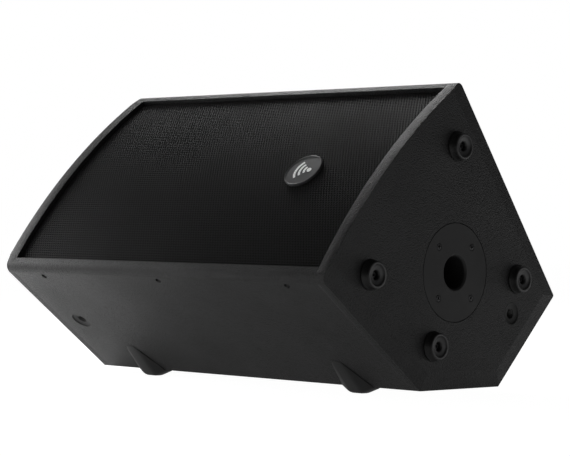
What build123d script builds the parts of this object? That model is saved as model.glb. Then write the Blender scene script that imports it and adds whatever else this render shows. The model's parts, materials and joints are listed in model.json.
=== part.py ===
from build123d import *

import os
from math import cos, radians, sin, tan

os.makedirs("parts", exist_ok=True)

# Stage monitor wedge: a two-way active plywood loudspeaker lying on its floor cut.
# Millimetres. X runs along the cabinet, Y to the rear, Z up. The origin is on the floor,
# under the middle of the overall length and depth.

# ---------------------------------------------------------------- driving dimensions
# Cabinet
CABINET_LENGTH = 520.0
FRONT_WIDTH = 308.0  # chord across the curved front
BODY_DEPTH = 294.0  # front chord to rear wall
SIDE_DRAFT = 8.0  # degrees each side wall leans in
FRONT_BULGE = 16.0  # how far the curved front stands past its chord
FLOOR_CUT = 96.0  # depth of the corner that is cut off to stand on
WEDGE_TILT = 45.0  # degrees the front leans back
WALL = 15.0
END_THICK = 15.0
FRONT_CORNER_R = 9.0
REAR_CORNER_R = 3.0
BEVEL_WIDTH = 20.0
BEVEL_DEPTH = 4.5
SCREW_FIT = 0.2  # radial clearance round every screw shank

# Rubber feet on the near end
END_FOOT_HEIGHT = 10.0
END_FOOT_BASE_R = 16.5
END_FOOT_FACE_R = 14.0
END_FOOT_DISH_R = 9.5
END_FOOT_DISH_DEPTH = 2.5
END_FOOT_DISH_DRAFT = 1.5
END_FOOT_SKIRT = 1.5
END_FOOT_ROUND = 1.0
END_FOOT_BORE_LIP = 1.0
END_FOOT_SPOTS = ((98.0, -47.0), (-100.0, -47.0), (73.0, -227.0), (-81.0, -175.0))

# Fin feet on the edges of the floor cut
FIN_DROP = 7.5  # floor cut to floor
FIN_X = 167.0
FIN_RISE = 50.0  # how far the fin's tip reaches up its wall
FIN_TIP_WIDTH = 16.0
FIN_WIDTH = 50.0
FIN_FLAT_WIDTH = 18.0
FIN_FLAT_LENGTH = 12.0
FIN_TOE = 4.0  # how far the flat starts outside the cabinet's edge
FIN_LAP = 14.0  # how far the fin laps under the floor wall

# Pole socket
POLE_R = 18.0
POLE_DEPTH = 80.0
POLE_TUBE_WALL = 3.0
POLE_LIP = 2.0
POLE_PLATE_R = 54.0
POLE_PLATE_THICK = 3.0
POLE_PLATE_GAP = 0.7
POLE_CENTRE = (0.0, -143.5)
POLE_SCREW_CIRCLE_R = 39.5

# Rigging points
RIG_THREAD_R = 5.0  # M10
RIG_SLEEVE_R = 8.0
RIG_SLEEVE_LENGTH = 22.0
RIG_DISH_R = 13.0
RIG_DISH_DEPTH = 3.0
RIG_END_SPOT = (39.0, -248.0)
RIG_SIDE_X = -212.0
RIG_SIDE_DOWN = 103.0  # from the front corner, along the side wall

# Grille
GRILLE_RECESS = 5.0
GRILLE_SHEET = 1.2
GRILLE_GAP = 1.0
GRILLE_FLANGE_BACK = 19.0
GRILLE_SCREW_X = 197.0
GRILLE_SCREW_DOWN = 14.0
GRILLE_SCREW_SINK = 2.0
FOAM_THICK = 5.0
FOAM_GAP = 0.5
FOAM_SIDE_GAP = 6.0
BADGE_X = 136.0
BADGE_S = -3.0
BADGE_R = 23.5
BADGE_THICK = 2.4
SIGN_THICK = 0.5
SIGN_SHIFT = 9.0  # from the badge's middle to the sign's dot
SIGN_DOT_R = 3.0
SIGN_WAVE_RADII = (8.0, 14.0, 20.0)
SIGN_STROKE = 2.8
SIGN_SPREAD = (40.0, 34.0)  # the waves' wedge, out and to each side

# Baffle and braces
BAFFLE_FRONT = -20.0
BAFFLE_THICK = 15.0
BATTEN_WIDTH = 10.0
BATTEN_DEPTH = 18.0
BRACE_X = -30.0
BRACE_THICK = 18.0
BRACE_FRONT = -150.0
BRACE_BACK = -190.0
LINING_THICK = 10.0
LINING_FRONT = -60.0
LINING_MARGIN = 6.0

# Woofer, with z measured outward from the baffle's face
WOOFER_X = 108.0
WOOFER_RIM_R = 130.0
WOOFER_RIM_THICK = 4.0
WOOFER_HOLE_R = 117.0
GASKET_INNER_R = 112.5
GASKET_THICK = 3.0
GASKET_OUTER_R = 128.0
SURROUND_OUTER_R = 111.5
SURROUND_ROLL_R = 6.0
SURROUND_MID_R = 98.0
SURROUND_THICK = 0.8
CONE_R = 92.0
CONE_THICK = 1.0
CONE_BACK = -38.0
CONE_LIP = 6.0
DOME_RISE = 10.0
DOME_LAP = 4.0  # how far the dust cap laps past the coil
COIL_R = 26.0  # former's outer radius
FORMER_THICK = 0.6
WINDING_THICK = 1.2
WINDING_HEIGHT = 14.0
MAGNET_GAP = 0.7  # radial, each side of the coil
TOP_PLATE_FRONT = -74.0
TOP_PLATE_THICK = 8.0
PLATE_R = 60.0
MAGNET_R = 65.0
MAGNET_BORE_R = 34.0
MAGNET_THICK = 25.0
BACK_PLATE_THICK = 10.0
VENT_R = 8.0
BASKET_LIP_R = 104.0
BASKET_WAIST_R = 68.0
BASKET_FOOT_R = 66.0
BASKET_WALL = 4.0
BASKET_LEDGE_R = 58.0
BASKET_WINDOWS = 6
BASKET_WINDOW_R = 88.0
BASKET_WINDOW = (60.0, 42.0, 26.0)
BASKET_WINDOW_BACK = 22.0  # from the baffle's back to the windows' middle
SPIDER_Z = -52.0
SPIDER_R = 60.0
SPIDER_RIDGES = 5
SPIDER_RIDGE_HEIGHT = 1.5
SPIDER_SEAT = 1.0  # from the spider's middle to the ledge under it
WOOFER_SCREW_COUNT = 8
WOOFER_SCREW_CIRCLE_R = 120.5
SCREW_LEAST = 1.0  # room left past the tip of a screw
GLUE_LINE = 0.4  # gap between a moving piece and the soft part glued to it

# Horn and compression driver
HORN_X = -150.0
HORN_LENGTH = 176.0
HORN_WIDTH = 200.0
HORN_FLANGE_THICK = 4.0
HORN_BORDER = 12.0
HORN_DEPTH = 85.0
HORN_SHELL = 3.0
THROAT_R = 12.7
THROAT_FLANGE_R = 40.0
THROAT_FLANGE_THICK = 8.0
DRIVER_R = 50.0
DRIVER_THICK = 32.0
CAP_R = 46.0
CAP_HEIGHT = 20.0
CAP_WALL = 3.0
DIAPHRAGM_R = 22.0
DIAPHRAGM_THICK = 0.5
DIAPHRAGM_COIL = 5.0
DIAPHRAGM_LIFT = 1.5
DIAPHRAGM_SLOT = 1.0  # gap each side of its coil

# Ports
PORT_X = -22.0
PORT_S = 97.0
PORT_R = 21.0
PORT_WALL = 2.0
PORT_LENGTH = 80.0
PORT_FLANGE_R = 29.0
PORT_FLANGE_THICK = 3.0

# Handle on the far end
HANDLE_CENTRE = (0.0, -110.0)
HANDLE_LENGTH = 124.0
HANDLE_WIDTH = 84.0
HANDLE_DEPTH = 46.0
HANDLE_WALL = 2.5
HANDLE_BORDER = 12.0
HANDLE_FLANGE = 3.0
HANDLE_CORNER_R = 18.0
GRIP_R = 11.0
GRIP_SINK = 12.0
GRIP_EDGE = 1.5

# Amplifier module, with z measured outward from the rear wall
AMP_LENGTH = 280.0
AMP_WIDTH = 124.0
AMP_PANEL_THICK = 3.0
AMP_GASKET_THICK = 1.0
AMP_LEDGE = 12.0  # how far the panel laps over the edge of its opening
AMP_SCREW_INSET = 6.0
SINK_X = -68.0
SINK_LENGTH = 124.0
SINK_WIDTH = 100.0
SINK_BASE = 4.0
SINK_FIN_HEIGHT = 11.0
SINK_FIN_THICK = 2.0
SINK_FIN_COUNT = 11
BOARD_LENGTH = 236.0
BOARD_WIDTH = 90.0
BOARD_THICK = 1.6
BOARD_Z = -30.0
POST_R = 3.0
TRANSFORMER_R = 34.0
TRANSFORMER_HEIGHT = 30.0
TRANSFORMER_BORE_R = 10.0
TRANSFORMER_EDGE_R = 4.0
CAPACITOR_R = 10.0
CAPACITOR_HEIGHT = 28.0

# Controls and sockets, placed on the module by (x, y), y down the face
KNOB_SPOT = (112.0, 22.0)
KNOB_R = 9.0
KNOB_HEIGHT = 12.0
KNOB_LIFT = 5.0
KNOB_DRAFT = 1.0
KNOB_RIBS = 18
KNOB_GROOVE_R = 0.6
KNOB_MARK = (1.2, 1.0)  # width and depth of the pointer's groove
SHAFT_R = 3.0
SHAFT_FIT = 0.05
POT_R = 8.5
POT_DEPTH = 11.0
BUSH_R = 4.5
BUTTON_SPOT = (90.0, 22.0)
BUTTON_R = 3.5
BUTTON_HEIGHT = 5.0
BUTTON_TRAVEL = 2.5
BUTTON_FIT = 0.4
BUTTON_EDGE = 0.6
SWITCH_SIZE = 11.0
SWITCH_DEPTH = 14.0
SWITCH_FLOOR = 2.0
ROCKER_SPOT = (47.0, -30.0)
ROCKER_R = 9.2
ROCKER_WIDTH = 12.4
ROCKER_TILT = 8.0
ROCKER_PIVOT_Z = -2.0
ROCKER_FIT = 0.6
ROCKER_PIN_R = 1.5
ROCKER_PIN_FIT = 0.05
ROCKER_END_ANGLE = 20.0
ROCKER_DISH = 1.4  # height of the valley between its two ends
FRAME_WALL = 1.2
FRAME_DEPTH = 16.0
FRAME_FLANGE = 2.5
FRAME_FLANGE_THICK = 1.5
INLET_SPOT = (92.0, -30.0)
INLET_CAVITY = (24.0, 17.0, 16.0)
INLET_WALL = 2.0
INLET_FLANGE = (50.0, 26.0, 2.0)
BLADE = (2.0, 5.0, 8.0)
BLADE_SPOTS = ((-7.0, -2.0), (0.0, 3.0), (7.0, -2.0))
INPUT_SPOT = (22.0, 22.0)
LINK_SPOT = (58.0, 22.0)
SOCKET_R = 12.0
SOCKET_BODY_DEPTH = 24.0
SOCKET_FLANGE = (26.0, 31.0, 2.0)
SOCKET_CUP_R = 9.5
SOCKET_CUP_DEPTH = 16.0
CONTACT_R = 1.3
CONTACT_CIRCLE_R = 4.5
CONTACT_LENGTH = 8.0
CONTACT_FIT = 0.3
CONTACT_TURNS = (90, 210, 330)
LATCH = (7.0, 4.0, 8.0)
LATCH_FIT = 0.4
LATCH_MARGIN = 1.5
LATCH_TRAVEL = 2.0
LATCH_PROUD = 0.5
LIGHT_SPOT = (20.0, -42.0)
LIGHT_PITCH = 12.0
LIGHT_R = 2.5
LIGHT_PROUD = 1.0
LIGHT_DEPTH = 4.0  # behind the panel
PANEL_FIT = 0.3  # gap round each control in the panel

# ---------------------------------------------------------------- the cabinet's section
# Section points are (s, n): s climbs along the front chord, n stands out from it.
half_width = FRONT_WIDTH / 2
lean = tan(radians(SIDE_DRAFT))
cut_start = BODY_DEPTH - FLOOR_CUT
front_low = (-half_width, 0.0)
cut_front = (-half_width + cut_start * lean, -cut_start)
cut_rear = (cut_front[0] + FLOOR_CUT / tan(radians(WEDGE_TILT)), -BODY_DEPTH)
top_rear = (half_width - BODY_DEPTH * lean, -BODY_DEPTH)
front_top = (half_width, 0.0)
arc_r = (half_width**2 + FRONT_BULGE**2) / (2 * FRONT_BULGE)
arc_centre = (0.0, FRONT_BULGE - arc_r)
inner_length = CABINET_LENGTH - 2 * END_THICK

with BuildSketch() as outline:
    with BuildLine():
        Polyline(front_low, cut_front, cut_rear, top_rear, front_top)
        ThreePointArc(front_top, (0, FRONT_BULGE), front_low)
    make_face()
    fillet(outline.vertices().filter_by(lambda v: v.Y < -1), REAR_CORNER_R)
    fillet(outline.vertices().group_by(Axis.Y)[-1], FRONT_CORNER_R)

# ---------------------------------------------------------------- the shared frame
leaning = outline.sketch.rotate(Axis.Z, WEDGE_TILT).bounding_box()
cabinet_centre = Vector(
    (HANDLE_FLANGE - END_FOOT_HEIGHT) / 2,
    -(leaning.min.X + leaning.max.X) / 2,
    FIN_DROP - leaning.min.Y,
)
along = Vector(1, 0, 0)
climb = Vector(0, cos(radians(WEDGE_TILT)), sin(radians(WEDGE_TILT)))
outward = Vector(0, -sin(radians(WEDGE_TILT)), cos(radians(WEDGE_TILT)))

SECTION = Plane(origin=cabinet_centre, x_dir=climb, z_dir=along)
BAFFLE = Plane(origin=cabinet_centre + outward * BAFFLE_FRONT, x_dir=along, z_dir=outward)
NEAR_END = SECTION.offset(CABINET_LENGTH / 2)
FAR_END = Plane(origin=cabinet_centre - along * CABINET_LENGTH / 2, x_dir=climb, z_dir=-along)


def spot(x, s, n):
    """The point x along, s up the front and n out of it."""
    return cabinet_centre + along * x + climb * s + outward * n


def facing(start, end):
    """The outward direction, in (s, n), of the wall that runs from start to end."""
    step = Vector(end[0] - start[0], end[1] - start[1]).normalized()
    return step.Y, -step.X


def on_wall(start, end, x, distance):
    """The plane on a wall's outer face, distance from its start, at x along."""
    step = Vector(end[0] - start[0], end[1] - start[1]).normalized()
    normal = facing(start, end)
    place = spot(x, start[0] + step.X * distance, start[1] + step.Y * distance)
    return Plane(origin=place, x_dir=along, z_dir=climb * normal[0] + outward * normal[1])


def at(plane, x, y, z=0.0):
    """The same plane with its origin moved to a local point."""
    return Plane(origin=plane.from_local_coords((x, y, z)), x_dir=plane.x_dir, z_dir=plane.z_dir)


rear_mid_s = (cut_rear[0] + top_rear[0]) / 2
REAR = Plane(origin=spot(0, rear_mid_s, -BODY_DEPTH), x_dir=along, z_dir=-outward)
WOOFER = at(BAFFLE, WOOFER_X, 0)
HORN = at(BAFFLE, HORN_X, 0)

top = (Align.CENTER, Align.CENTER, Align.MAX)
bottom = (Align.CENTER, Align.CENTER, Align.MIN)


def side_s(n, inset):
    """Half the width, at n, between lines set in from the side walls' outer faces."""
    return half_width + n * lean - inset / cos(radians(SIDE_DRAFT))


def front_block(inset, arc_inset, back):
    """The region behind the curved front, as a sketch, down to n = -back."""
    with BuildSketch() as block:
        with BuildLine():
            Polyline(
                (-side_s(-back, inset), -back),
                (side_s(-back, inset), -back),
                (side_s(FRONT_BULGE, inset), FRONT_BULGE),
                (-side_s(FRONT_BULGE, inset), FRONT_BULGE),
                close=True,
            )
        make_face()
        with Locations(arc_centre):
            Circle(arc_r - arc_inset, mode=Mode.INTERSECT)
    return block.sketch


def slab(inset, front, back):
    """A board's section between the side walls, from n = front to n = back."""
    with BuildSketch() as board:
        with BuildLine():
            Polyline(
                (-side_s(back, inset), back),
                (side_s(back, inset), back),
                (side_s(front, inset), front),
                (-side_s(front, inset), front),
                close=True,
            )
        make_face()
    return board.sketch


def drill(places, radius, depth):
    """Cuts a round hole to each side of every place, in the part being built."""
    with Locations(*places):
        Cylinder(radius, 2 * depth, mode=Mode.SUBTRACT)


def sunk_screws(places, head_r, shank_r, length):
    """Countersunk cross-head screws whose heads lie flush with their places."""
    head_height = head_r - shank_r
    with BuildPart() as screws:
        with Locations(*places):
            Cylinder(shank_r, length, align=top)
            Cone(shank_r, head_r, head_height, align=top)
            Box(head_r, head_r / 4, 2 * head_height, mode=Mode.SUBTRACT)
            Box(head_r / 4, head_r, 2 * head_height, mode=Mode.SUBTRACT)
    return screws.part


def sink_holes(places, head_r, shank_r, depth):
    """The countersunk holes that such screws sit in, in the part being built."""
    hole_r = shank_r + SCREW_FIT
    rim_r = head_r + SCREW_FIT
    with Locations(*places):
        Cylinder(hole_r, 2 * depth, mode=Mode.SUBTRACT)
        Cone(hole_r, rim_r, rim_r - hole_r, align=top, mode=Mode.SUBTRACT)


def ring(outer_r, inner_r, height, align=bottom):
    """A flat ring in the part being built."""
    Cylinder(outer_r, height, align=align)
    Cylinder(inner_r, height, align=align, mode=Mode.SUBTRACT)


# ---------------------------------------------------------------- where fasteners go
foot_places = [at(NEAR_END, s, n) for s, n in END_FOOT_SPOTS]
FOOT_SCREW = (4.0, 2.2, 18.0)  # head radius, shank radius, length
FOOT_SCREW_SEAT = 4.0
foot_screw_places = [at(NEAR_END, s, n, FOOT_SCREW_SEAT) for s, n in END_FOOT_SPOTS]

pole_place = at(NEAR_END, *POLE_CENTRE)
POLE_SCREW = (4.0, 2.2, 14.0)
pole_screw_places = [
    at(pole_place, POLE_SCREW_CIRCLE_R * cos(radians(a)), POLE_SCREW_CIRCLE_R * sin(radians(a)))
    for a in (0, 90, 180, 270)
]

GRILLE_SCREW = (3.4, 1.8, 17.0)
low_wall = (front_low, cut_front)
top_wall_length = (Vector(*front_top) - Vector(*top_rear)).length
grille_screw_places = []
for x in (-GRILLE_SCREW_X, 0, GRILLE_SCREW_X):
    grille_screw_places.append(at(on_wall(*low_wall, x, GRILLE_SCREW_DOWN), 0, 0, -GRILLE_SCREW_SINK))
    from_rear = top_wall_length - GRILLE_SCREW_DOWN
    grille_screw_places.append(at(on_wall(top_rear, front_top, x, from_rear), 0, 0, -GRILLE_SCREW_SINK))

rig_near = at(NEAR_END, *RIG_END_SPOT)
rig_low = on_wall(*low_wall, RIG_SIDE_X, RIG_SIDE_DOWN)
rig_top = on_wall(top_rear, front_top, RIG_SIDE_X, top_wall_length - RIG_SIDE_DOWN)
rig_places = [rig_near, rig_low, rig_top]

handle_place = at(FAR_END, HANDLE_CENTRE[0], -HANDLE_CENTRE[1])
HANDLE_SCREW = (3.6, 2.0, 15.0)
handle_flange_length = HANDLE_LENGTH + 2 * HANDLE_BORDER
handle_flange_width = HANDLE_WIDTH + 2 * HANDLE_BORDER
handle_screw_places = [
    at(handle_place, x, y, HANDLE_FLANGE)
    for x in (-HANDLE_LENGTH / 2, HANDLE_LENGTH / 2)
    for y in (-HANDLE_WIDTH / 2 - HANDLE_BORDER / 2, HANDLE_WIDTH / 2 + HANDLE_BORDER / 2)
]

AMP_SCREW = (3.0, 1.7, 14.0)
amp_screw_x = AMP_LENGTH / 2 - AMP_SCREW_INSET
amp_screw_y = AMP_WIDTH / 2 - AMP_SCREW_INSET
amp_screw_places = [
    at(REAR, x, y) for x in (-amp_screw_x, 0, amp_screw_x) for y in (-amp_screw_y, amp_screw_y)
]

WOOFER_SCREW = (4.5, 2.4, 18.0)
HORN_SCREW = (3.6, 2.0, 16.0)
horn_screw_places = [
    at(HORN, x, y, HORN_FLANGE_THICK)
    for x in (-HORN_LENGTH / 2 + HORN_BORDER / 2, HORN_LENGTH / 2 - HORN_BORDER / 2)
    for y in (-HORN_WIDTH / 2 + HORN_BORDER, 0, HORN_WIDTH / 2 - HORN_BORDER)
]

# ---------------------------------------------------------------- end panels
section_corners = [front_low, cut_front, cut_rear, top_rear, front_top]


def end_blank():
    """The near end panel before it is cut out, bevelled on every side but the front."""
    with BuildPart() as blank:
        with BuildSketch(SECTION.offset(CABINET_LENGTH / 2 - END_THICK)):
            add(outline.sketch)
        extrude(amount=END_THICK)
        for start, end in zip(section_corners, section_corners[1:]):
            normal = facing(start, end)
            slope = (climb * normal[0] + outward * normal[1]) * BEVEL_DEPTH + along * BEVEL_WIDTH
            edge = spot(CABINET_LENGTH / 2 - BEVEL_DEPTH, *start)
            split(bisect_by=Plane(origin=edge, z_dir=slope), keep=Keep.BOTTOM)
    return blank.part


with BuildPart() as near_end_panel:
    add(end_blank())
    drill([pole_place], POLE_PLATE_R + POLE_PLATE_GAP, POLE_PLATE_THICK)
    drill([pole_place], POLE_R + POLE_TUBE_WALL + POLE_PLATE_GAP, END_THICK)
    drill(foot_places, FOOT_SCREW[1] + SCREW_FIT, END_THICK)
    drill(pole_screw_places, POLE_SCREW[1] + SCREW_FIT, POLE_SCREW[2] + SCREW_LEAST)
    drill([rig_near], RIG_DISH_R, RIG_DISH_DEPTH)
    drill([rig_near], RIG_SLEEVE_R, END_THICK)
near_end_panel.part.label = "near_end_panel"
export_step(near_end_panel.part, "parts/near_end_panel.step")

with BuildPart() as far_end_panel:
    mirror(end_blank(), about=SECTION)
    with BuildSketch(handle_place):
        RectangleRounded(
            HANDLE_LENGTH + 2 * HANDLE_WALL + 2 * PANEL_FIT,
            HANDLE_WIDTH + 2 * HANDLE_WALL + 2 * PANEL_FIT,
            HANDLE_CORNER_R + HANDLE_WALL + PANEL_FIT,
        )
    extrude(amount=-END_THICK, mode=Mode.SUBTRACT)
    drill(handle_screw_places, HANDLE_SCREW[1] + SCREW_FIT, HANDLE_SCREW[2] + SCREW_LEAST)
far_end_panel.part.label = "far_end_panel"
export_step(far_end_panel.part, "parts/far_end_panel.step")

# ---------------------------------------------------------------- long walls
# The side walls run past the front here, and the outline trims them to the curve.
overrun = 2 * FRONT_BULGE
low_end = (front_low[0] - overrun * lean, overrun)
top_end = (front_top[0] + overrun * lean, overrun)
wall_corners = [low_end, cut_front, cut_rear, top_rear, top_end]


def inner_corner(k):
    """The corner inside wall corner k, one wall thickness from both faces."""
    before = Vector(*facing(wall_corners[max(k - 1, 0)], wall_corners[max(k, 1)]))
    after = Vector(*facing(wall_corners[min(k, 3)], wall_corners[min(k + 1, 4)]))
    step = (before + after) * (WALL / (1 + before.dot(after)))
    return wall_corners[k][0] - step.X, wall_corners[k][1] - step.Y


def long_wall(k):
    """The mitred board between wall corners k and k + 1, trimmed to the outline."""
    with BuildPart() as board:
        with BuildSketch(SECTION):
            with BuildLine():
                Polyline(
                    wall_corners[k],
                    wall_corners[k + 1],
                    inner_corner(k + 1),
                    inner_corner(k),
                    close=True,
                )
            make_face()
            add(outline.sketch, mode=Mode.INTERSECT)
        extrude(amount=inner_length / 2, both=True)
    return board.part


with BuildPart() as front_side_wall:
    add(long_wall(0))
    drill(grille_screw_places[0::2], GRILLE_SCREW[0] + SCREW_FIT, GRILLE_SCREW_SINK)
    sink_holes(grille_screw_places[0::2], *GRILLE_SCREW)
    drill([rig_low], RIG_DISH_R, RIG_DISH_DEPTH)
    drill([rig_low], RIG_SLEEVE_R, WALL + 1)
front_side_wall.part.label = "front_side_wall"
export_step(front_side_wall.part, "parts/front_side_wall.step")

with BuildPart() as floor_wall:
    add(long_wall(1))
floor_wall.part.label = "floor_wall"
export_step(floor_wall.part, "parts/floor_wall.step")

with BuildPart() as rear_wall:
    add(long_wall(2))
    with Locations(REAR):
        Box(
            AMP_LENGTH + 2 * PANEL_FIT,
            AMP_WIDTH + 2 * PANEL_FIT,
            2 * (AMP_PANEL_THICK + AMP_GASKET_THICK),
            mode=Mode.SUBTRACT,
        )
        Box(AMP_LENGTH - 2 * AMP_LEDGE, AMP_WIDTH - 2 * AMP_LEDGE, 3 * WALL, mode=Mode.SUBTRACT)
    drill(amp_screw_places, AMP_SCREW[1] + SCREW_FIT, WALL)
rear_wall.part.label = "rear_wall"
export_step(rear_wall.part, "parts/rear_wall.step")

with BuildPart() as top_side_wall:
    add(long_wall(3))
    drill(grille_screw_places[1::2], GRILLE_SCREW[0] + SCREW_FIT, GRILLE_SCREW_SINK)
    sink_holes(grille_screw_places[1::2], *GRILLE_SCREW)
    drill([rig_top], RIG_DISH_R, RIG_DISH_DEPTH)
    drill([rig_top], RIG_SLEEVE_R, WALL + 1)
top_side_wall.part.label = "top_side_wall"
export_step(top_side_wall.part, "parts/top_side_wall.step")

# ---------------------------------------------------------------- baffle and braces
woofer_screw_places = [
    at(
        WOOFER,
        WOOFER_SCREW_CIRCLE_R * cos(radians(turn)),
        WOOFER_SCREW_CIRCLE_R * sin(radians(turn)),
        WOOFER_RIM_THICK,
    )
    for turn in [360 * (k + 0.5) / WOOFER_SCREW_COUNT for k in range(WOOFER_SCREW_COUNT)]
]
port_places = [at(BAFFLE, PORT_X, s) for s in (-PORT_S, PORT_S)]
horn_bore = (HORN_LENGTH - 2 * HORN_BORDER, HORN_WIDTH - 2 * HORN_BORDER)

with BuildPart() as baffle:
    with BuildSketch(SECTION):
        add(slab(WALL, BAFFLE_FRONT, BAFFLE_FRONT - BAFFLE_THICK))
    extrude(amount=inner_length / 2, both=True)
    drill([WOOFER], WOOFER_HOLE_R, BAFFLE_THICK + 1)
    drill(port_places, PORT_R + PORT_WALL + PANEL_FIT, BAFFLE_THICK + 1)
    drill(woofer_screw_places, WOOFER_SCREW[1] + SCREW_FIT, WOOFER_SCREW[2])
    drill(horn_screw_places, HORN_SCREW[1] + SCREW_FIT, HORN_SCREW[2])
    with Locations(HORN):
        Box(
            horn_bore[0] + 2 * (HORN_SHELL + PANEL_FIT),
            horn_bore[1] + 2 * (HORN_SHELL + PANEL_FIT),
            3 * BAFFLE_THICK,
            mode=Mode.SUBTRACT,
        )
baffle.part.label = "baffle"
export_step(baffle.part, "parts/baffle.step")

batten_front = BAFFLE_FRONT - BAFFLE_THICK
with BuildPart() as baffle_battens:
    with BuildSketch(SECTION):
        add(slab(WALL, batten_front, batten_front - BATTEN_DEPTH))
        add(slab(WALL + BATTEN_WIDTH, batten_front, batten_front - BATTEN_DEPTH), mode=Mode.SUBTRACT)
    extrude(amount=inner_length / 2, both=True)
    drill(port_places, PORT_R + PORT_WALL + PANEL_FIT, BAFFLE_THICK + BATTEN_DEPTH + 1)
baffle_battens.part.label = "baffle_battens"
export_step(baffle_battens.part, "parts/baffle_battens.step")

with BuildPart() as cross_brace:
    with BuildSketch(SECTION.offset(BRACE_X)):
        add(slab(WALL, BRACE_FRONT, BRACE_BACK))
    extrude(amount=BRACE_THICK / 2, both=True)
cross_brace.part.label = "cross_brace"
export_step(cross_brace.part, "parts/cross_brace.step")

lining_reach = inner_corner(1)[1] + LINING_MARGIN
with BuildPart() as damping_lining:
    with BuildSketch(SECTION.offset(inner_length / 2)):
        add(slab(WALL + LINING_MARGIN, LINING_FRONT, lining_reach))
    extrude(amount=-LINING_THICK)
    drill([pole_place], POLE_R + POLE_TUBE_WALL + LINING_MARGIN, END_THICK + LINING_THICK + 1)
damping_lining.part.label = "damping_lining"
export_step(damping_lining.part, "parts/damping_lining.step")

# ---------------------------------------------------------------- grille and badge
grille_length = inner_length - 2 * GRILLE_GAP
sheet_inset = WALL + GRILLE_GAP
with BuildPart() as grille:
    with BuildSketch(SECTION):
        add(front_block(sheet_inset, GRILLE_RECESS, GRILLE_FLANGE_BACK))
        add(
            front_block(
                sheet_inset + GRILLE_SHEET,
                GRILLE_RECESS + GRILLE_SHEET,
                GRILLE_FLANGE_BACK + 1,
            ),
            mode=Mode.SUBTRACT,
        )
    extrude(amount=grille_length / 2, both=True)
    drill(grille_screw_places, GRILLE_SCREW[1] + SCREW_FIT, GRILLE_SCREW[2] + 2)
grille.part.label = "grille"
export_step(grille.part, "parts/grille.step")

foam_inset = sheet_inset + GRILLE_SHEET + FOAM_SIDE_GAP
foam_face = GRILLE_RECESS + GRILLE_SHEET + FOAM_GAP
with BuildPart() as grille_foam:
    with BuildSketch(SECTION):
        add(front_block(foam_inset, foam_face, GRILLE_FLANGE_BACK))
        with Locations(arc_centre):
            Circle(arc_r - foam_face - FOAM_THICK, mode=Mode.SUBTRACT)
    extrude(amount=grille_length / 2 - FOAM_GAP, both=True)
grille_foam.part.label = "grille_foam"
export_step(grille_foam.part, "parts/grille_foam.step")

with BuildPart() as grille_screws:
    add(sunk_screws(grille_screw_places, *GRILLE_SCREW))
grille_screws.part.label = "grille_screws"
export_step(grille_screws.part, "parts/grille_screws.step")

# The badge is curved like the sheet that it is stuck to.
badge_plane = Plane(origin=spot(BADGE_X, BADGE_S, 0), x_dir=along, z_dir=outward)


def curved_layer(radius, low, high):
    """A disc of the given radius between two offsets from the grille's outer face."""
    with BuildPart() as layer:
        with BuildSketch(SECTION.offset(BADGE_X)):
            with Locations(arc_centre):
                Circle(arc_r - GRILLE_RECESS + high)
                Circle(arc_r - GRILLE_RECESS + low, mode=Mode.SUBTRACT)
        extrude(amount=radius + 1, both=True)
        with BuildSketch(badge_plane):
            Circle(radius)
        extrude(amount=3 * FRONT_BULGE, mode=Mode.INTERSECT)
    return layer.part


with BuildPart() as badge_plate:
    add(curved_layer(BADGE_R, 0, BADGE_THICK))
badge_plate.part.label = "badge_plate"
export_step(badge_plate.part, "parts/badge_plate.step")

# A generic raised sign: three arcs that spread from a dot.
with BuildPart() as badge_sign:
    add(curved_layer(BADGE_R, BADGE_THICK, BADGE_THICK + SIGN_THICK))
    with BuildSketch(at(badge_plane, SIGN_SHIFT, 0)):
        Circle(SIGN_DOT_R)
        for wave_r in SIGN_WAVE_RADII:
            with BuildSketch(mode=Mode.PRIVATE) as wave:
                Circle(wave_r)
                Circle(wave_r - SIGN_STROKE, mode=Mode.SUBTRACT)
                with BuildLine():
                    Polyline(
                        (0, 0),
                        (-SIGN_SPREAD[0], SIGN_SPREAD[1]),
                        (-SIGN_SPREAD[0], -SIGN_SPREAD[1]),
                        close=True,
                    )
                make_face(mode=Mode.INTERSECT)
            add(wave.sketch)
    extrude(amount=3 * FRONT_BULGE, mode=Mode.INTERSECT)
badge_sign.part.label = "badge_sign"
export_step(badge_sign.part, "parts/badge_sign.step")

# ---------------------------------------------------------------- end feet
with BuildPart() as one_foot:
    with BuildSketch(Plane.XZ):
        with BuildLine():
            Polyline(
                (FOOT_SCREW[1] + SCREW_FIT, 0),
                (END_FOOT_BASE_R, 0),
                (END_FOOT_BASE_R, END_FOOT_SKIRT),
                (END_FOOT_FACE_R, END_FOOT_HEIGHT - END_FOOT_ROUND),
                (END_FOOT_FACE_R - END_FOOT_ROUND, END_FOOT_HEIGHT),
                (END_FOOT_DISH_R, END_FOOT_HEIGHT),
                (END_FOOT_DISH_R - END_FOOT_DISH_DRAFT, END_FOOT_HEIGHT - END_FOOT_DISH_DEPTH),
                (FOOT_SCREW[0] + END_FOOT_BORE_LIP, END_FOOT_HEIGHT - END_FOOT_DISH_DEPTH),
                (FOOT_SCREW[0] + SCREW_FIT, FOOT_SCREW_SEAT + END_FOOT_BORE_LIP),
                (FOOT_SCREW[0] + SCREW_FIT, FOOT_SCREW_SEAT),
                (FOOT_SCREW[1] + SCREW_FIT, FOOT_SCREW_SEAT - FOOT_SCREW[0] + FOOT_SCREW[1]),
                close=True,
            )
        make_face()
    revolve(axis=Axis.Z)

with BuildPart() as end_feet:
    with Locations(*foot_places):
        add(one_foot.part)
end_feet.part.label = "end_feet"
export_step(end_feet.part, "parts/end_feet.step")

with BuildPart() as end_foot_screws:
    add(sunk_screws(foot_screw_places, *FOOT_SCREW))
end_foot_screws.part.label = "end_foot_screws"
export_step(end_foot_screws.part, "parts/end_foot_screws.step")

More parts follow.
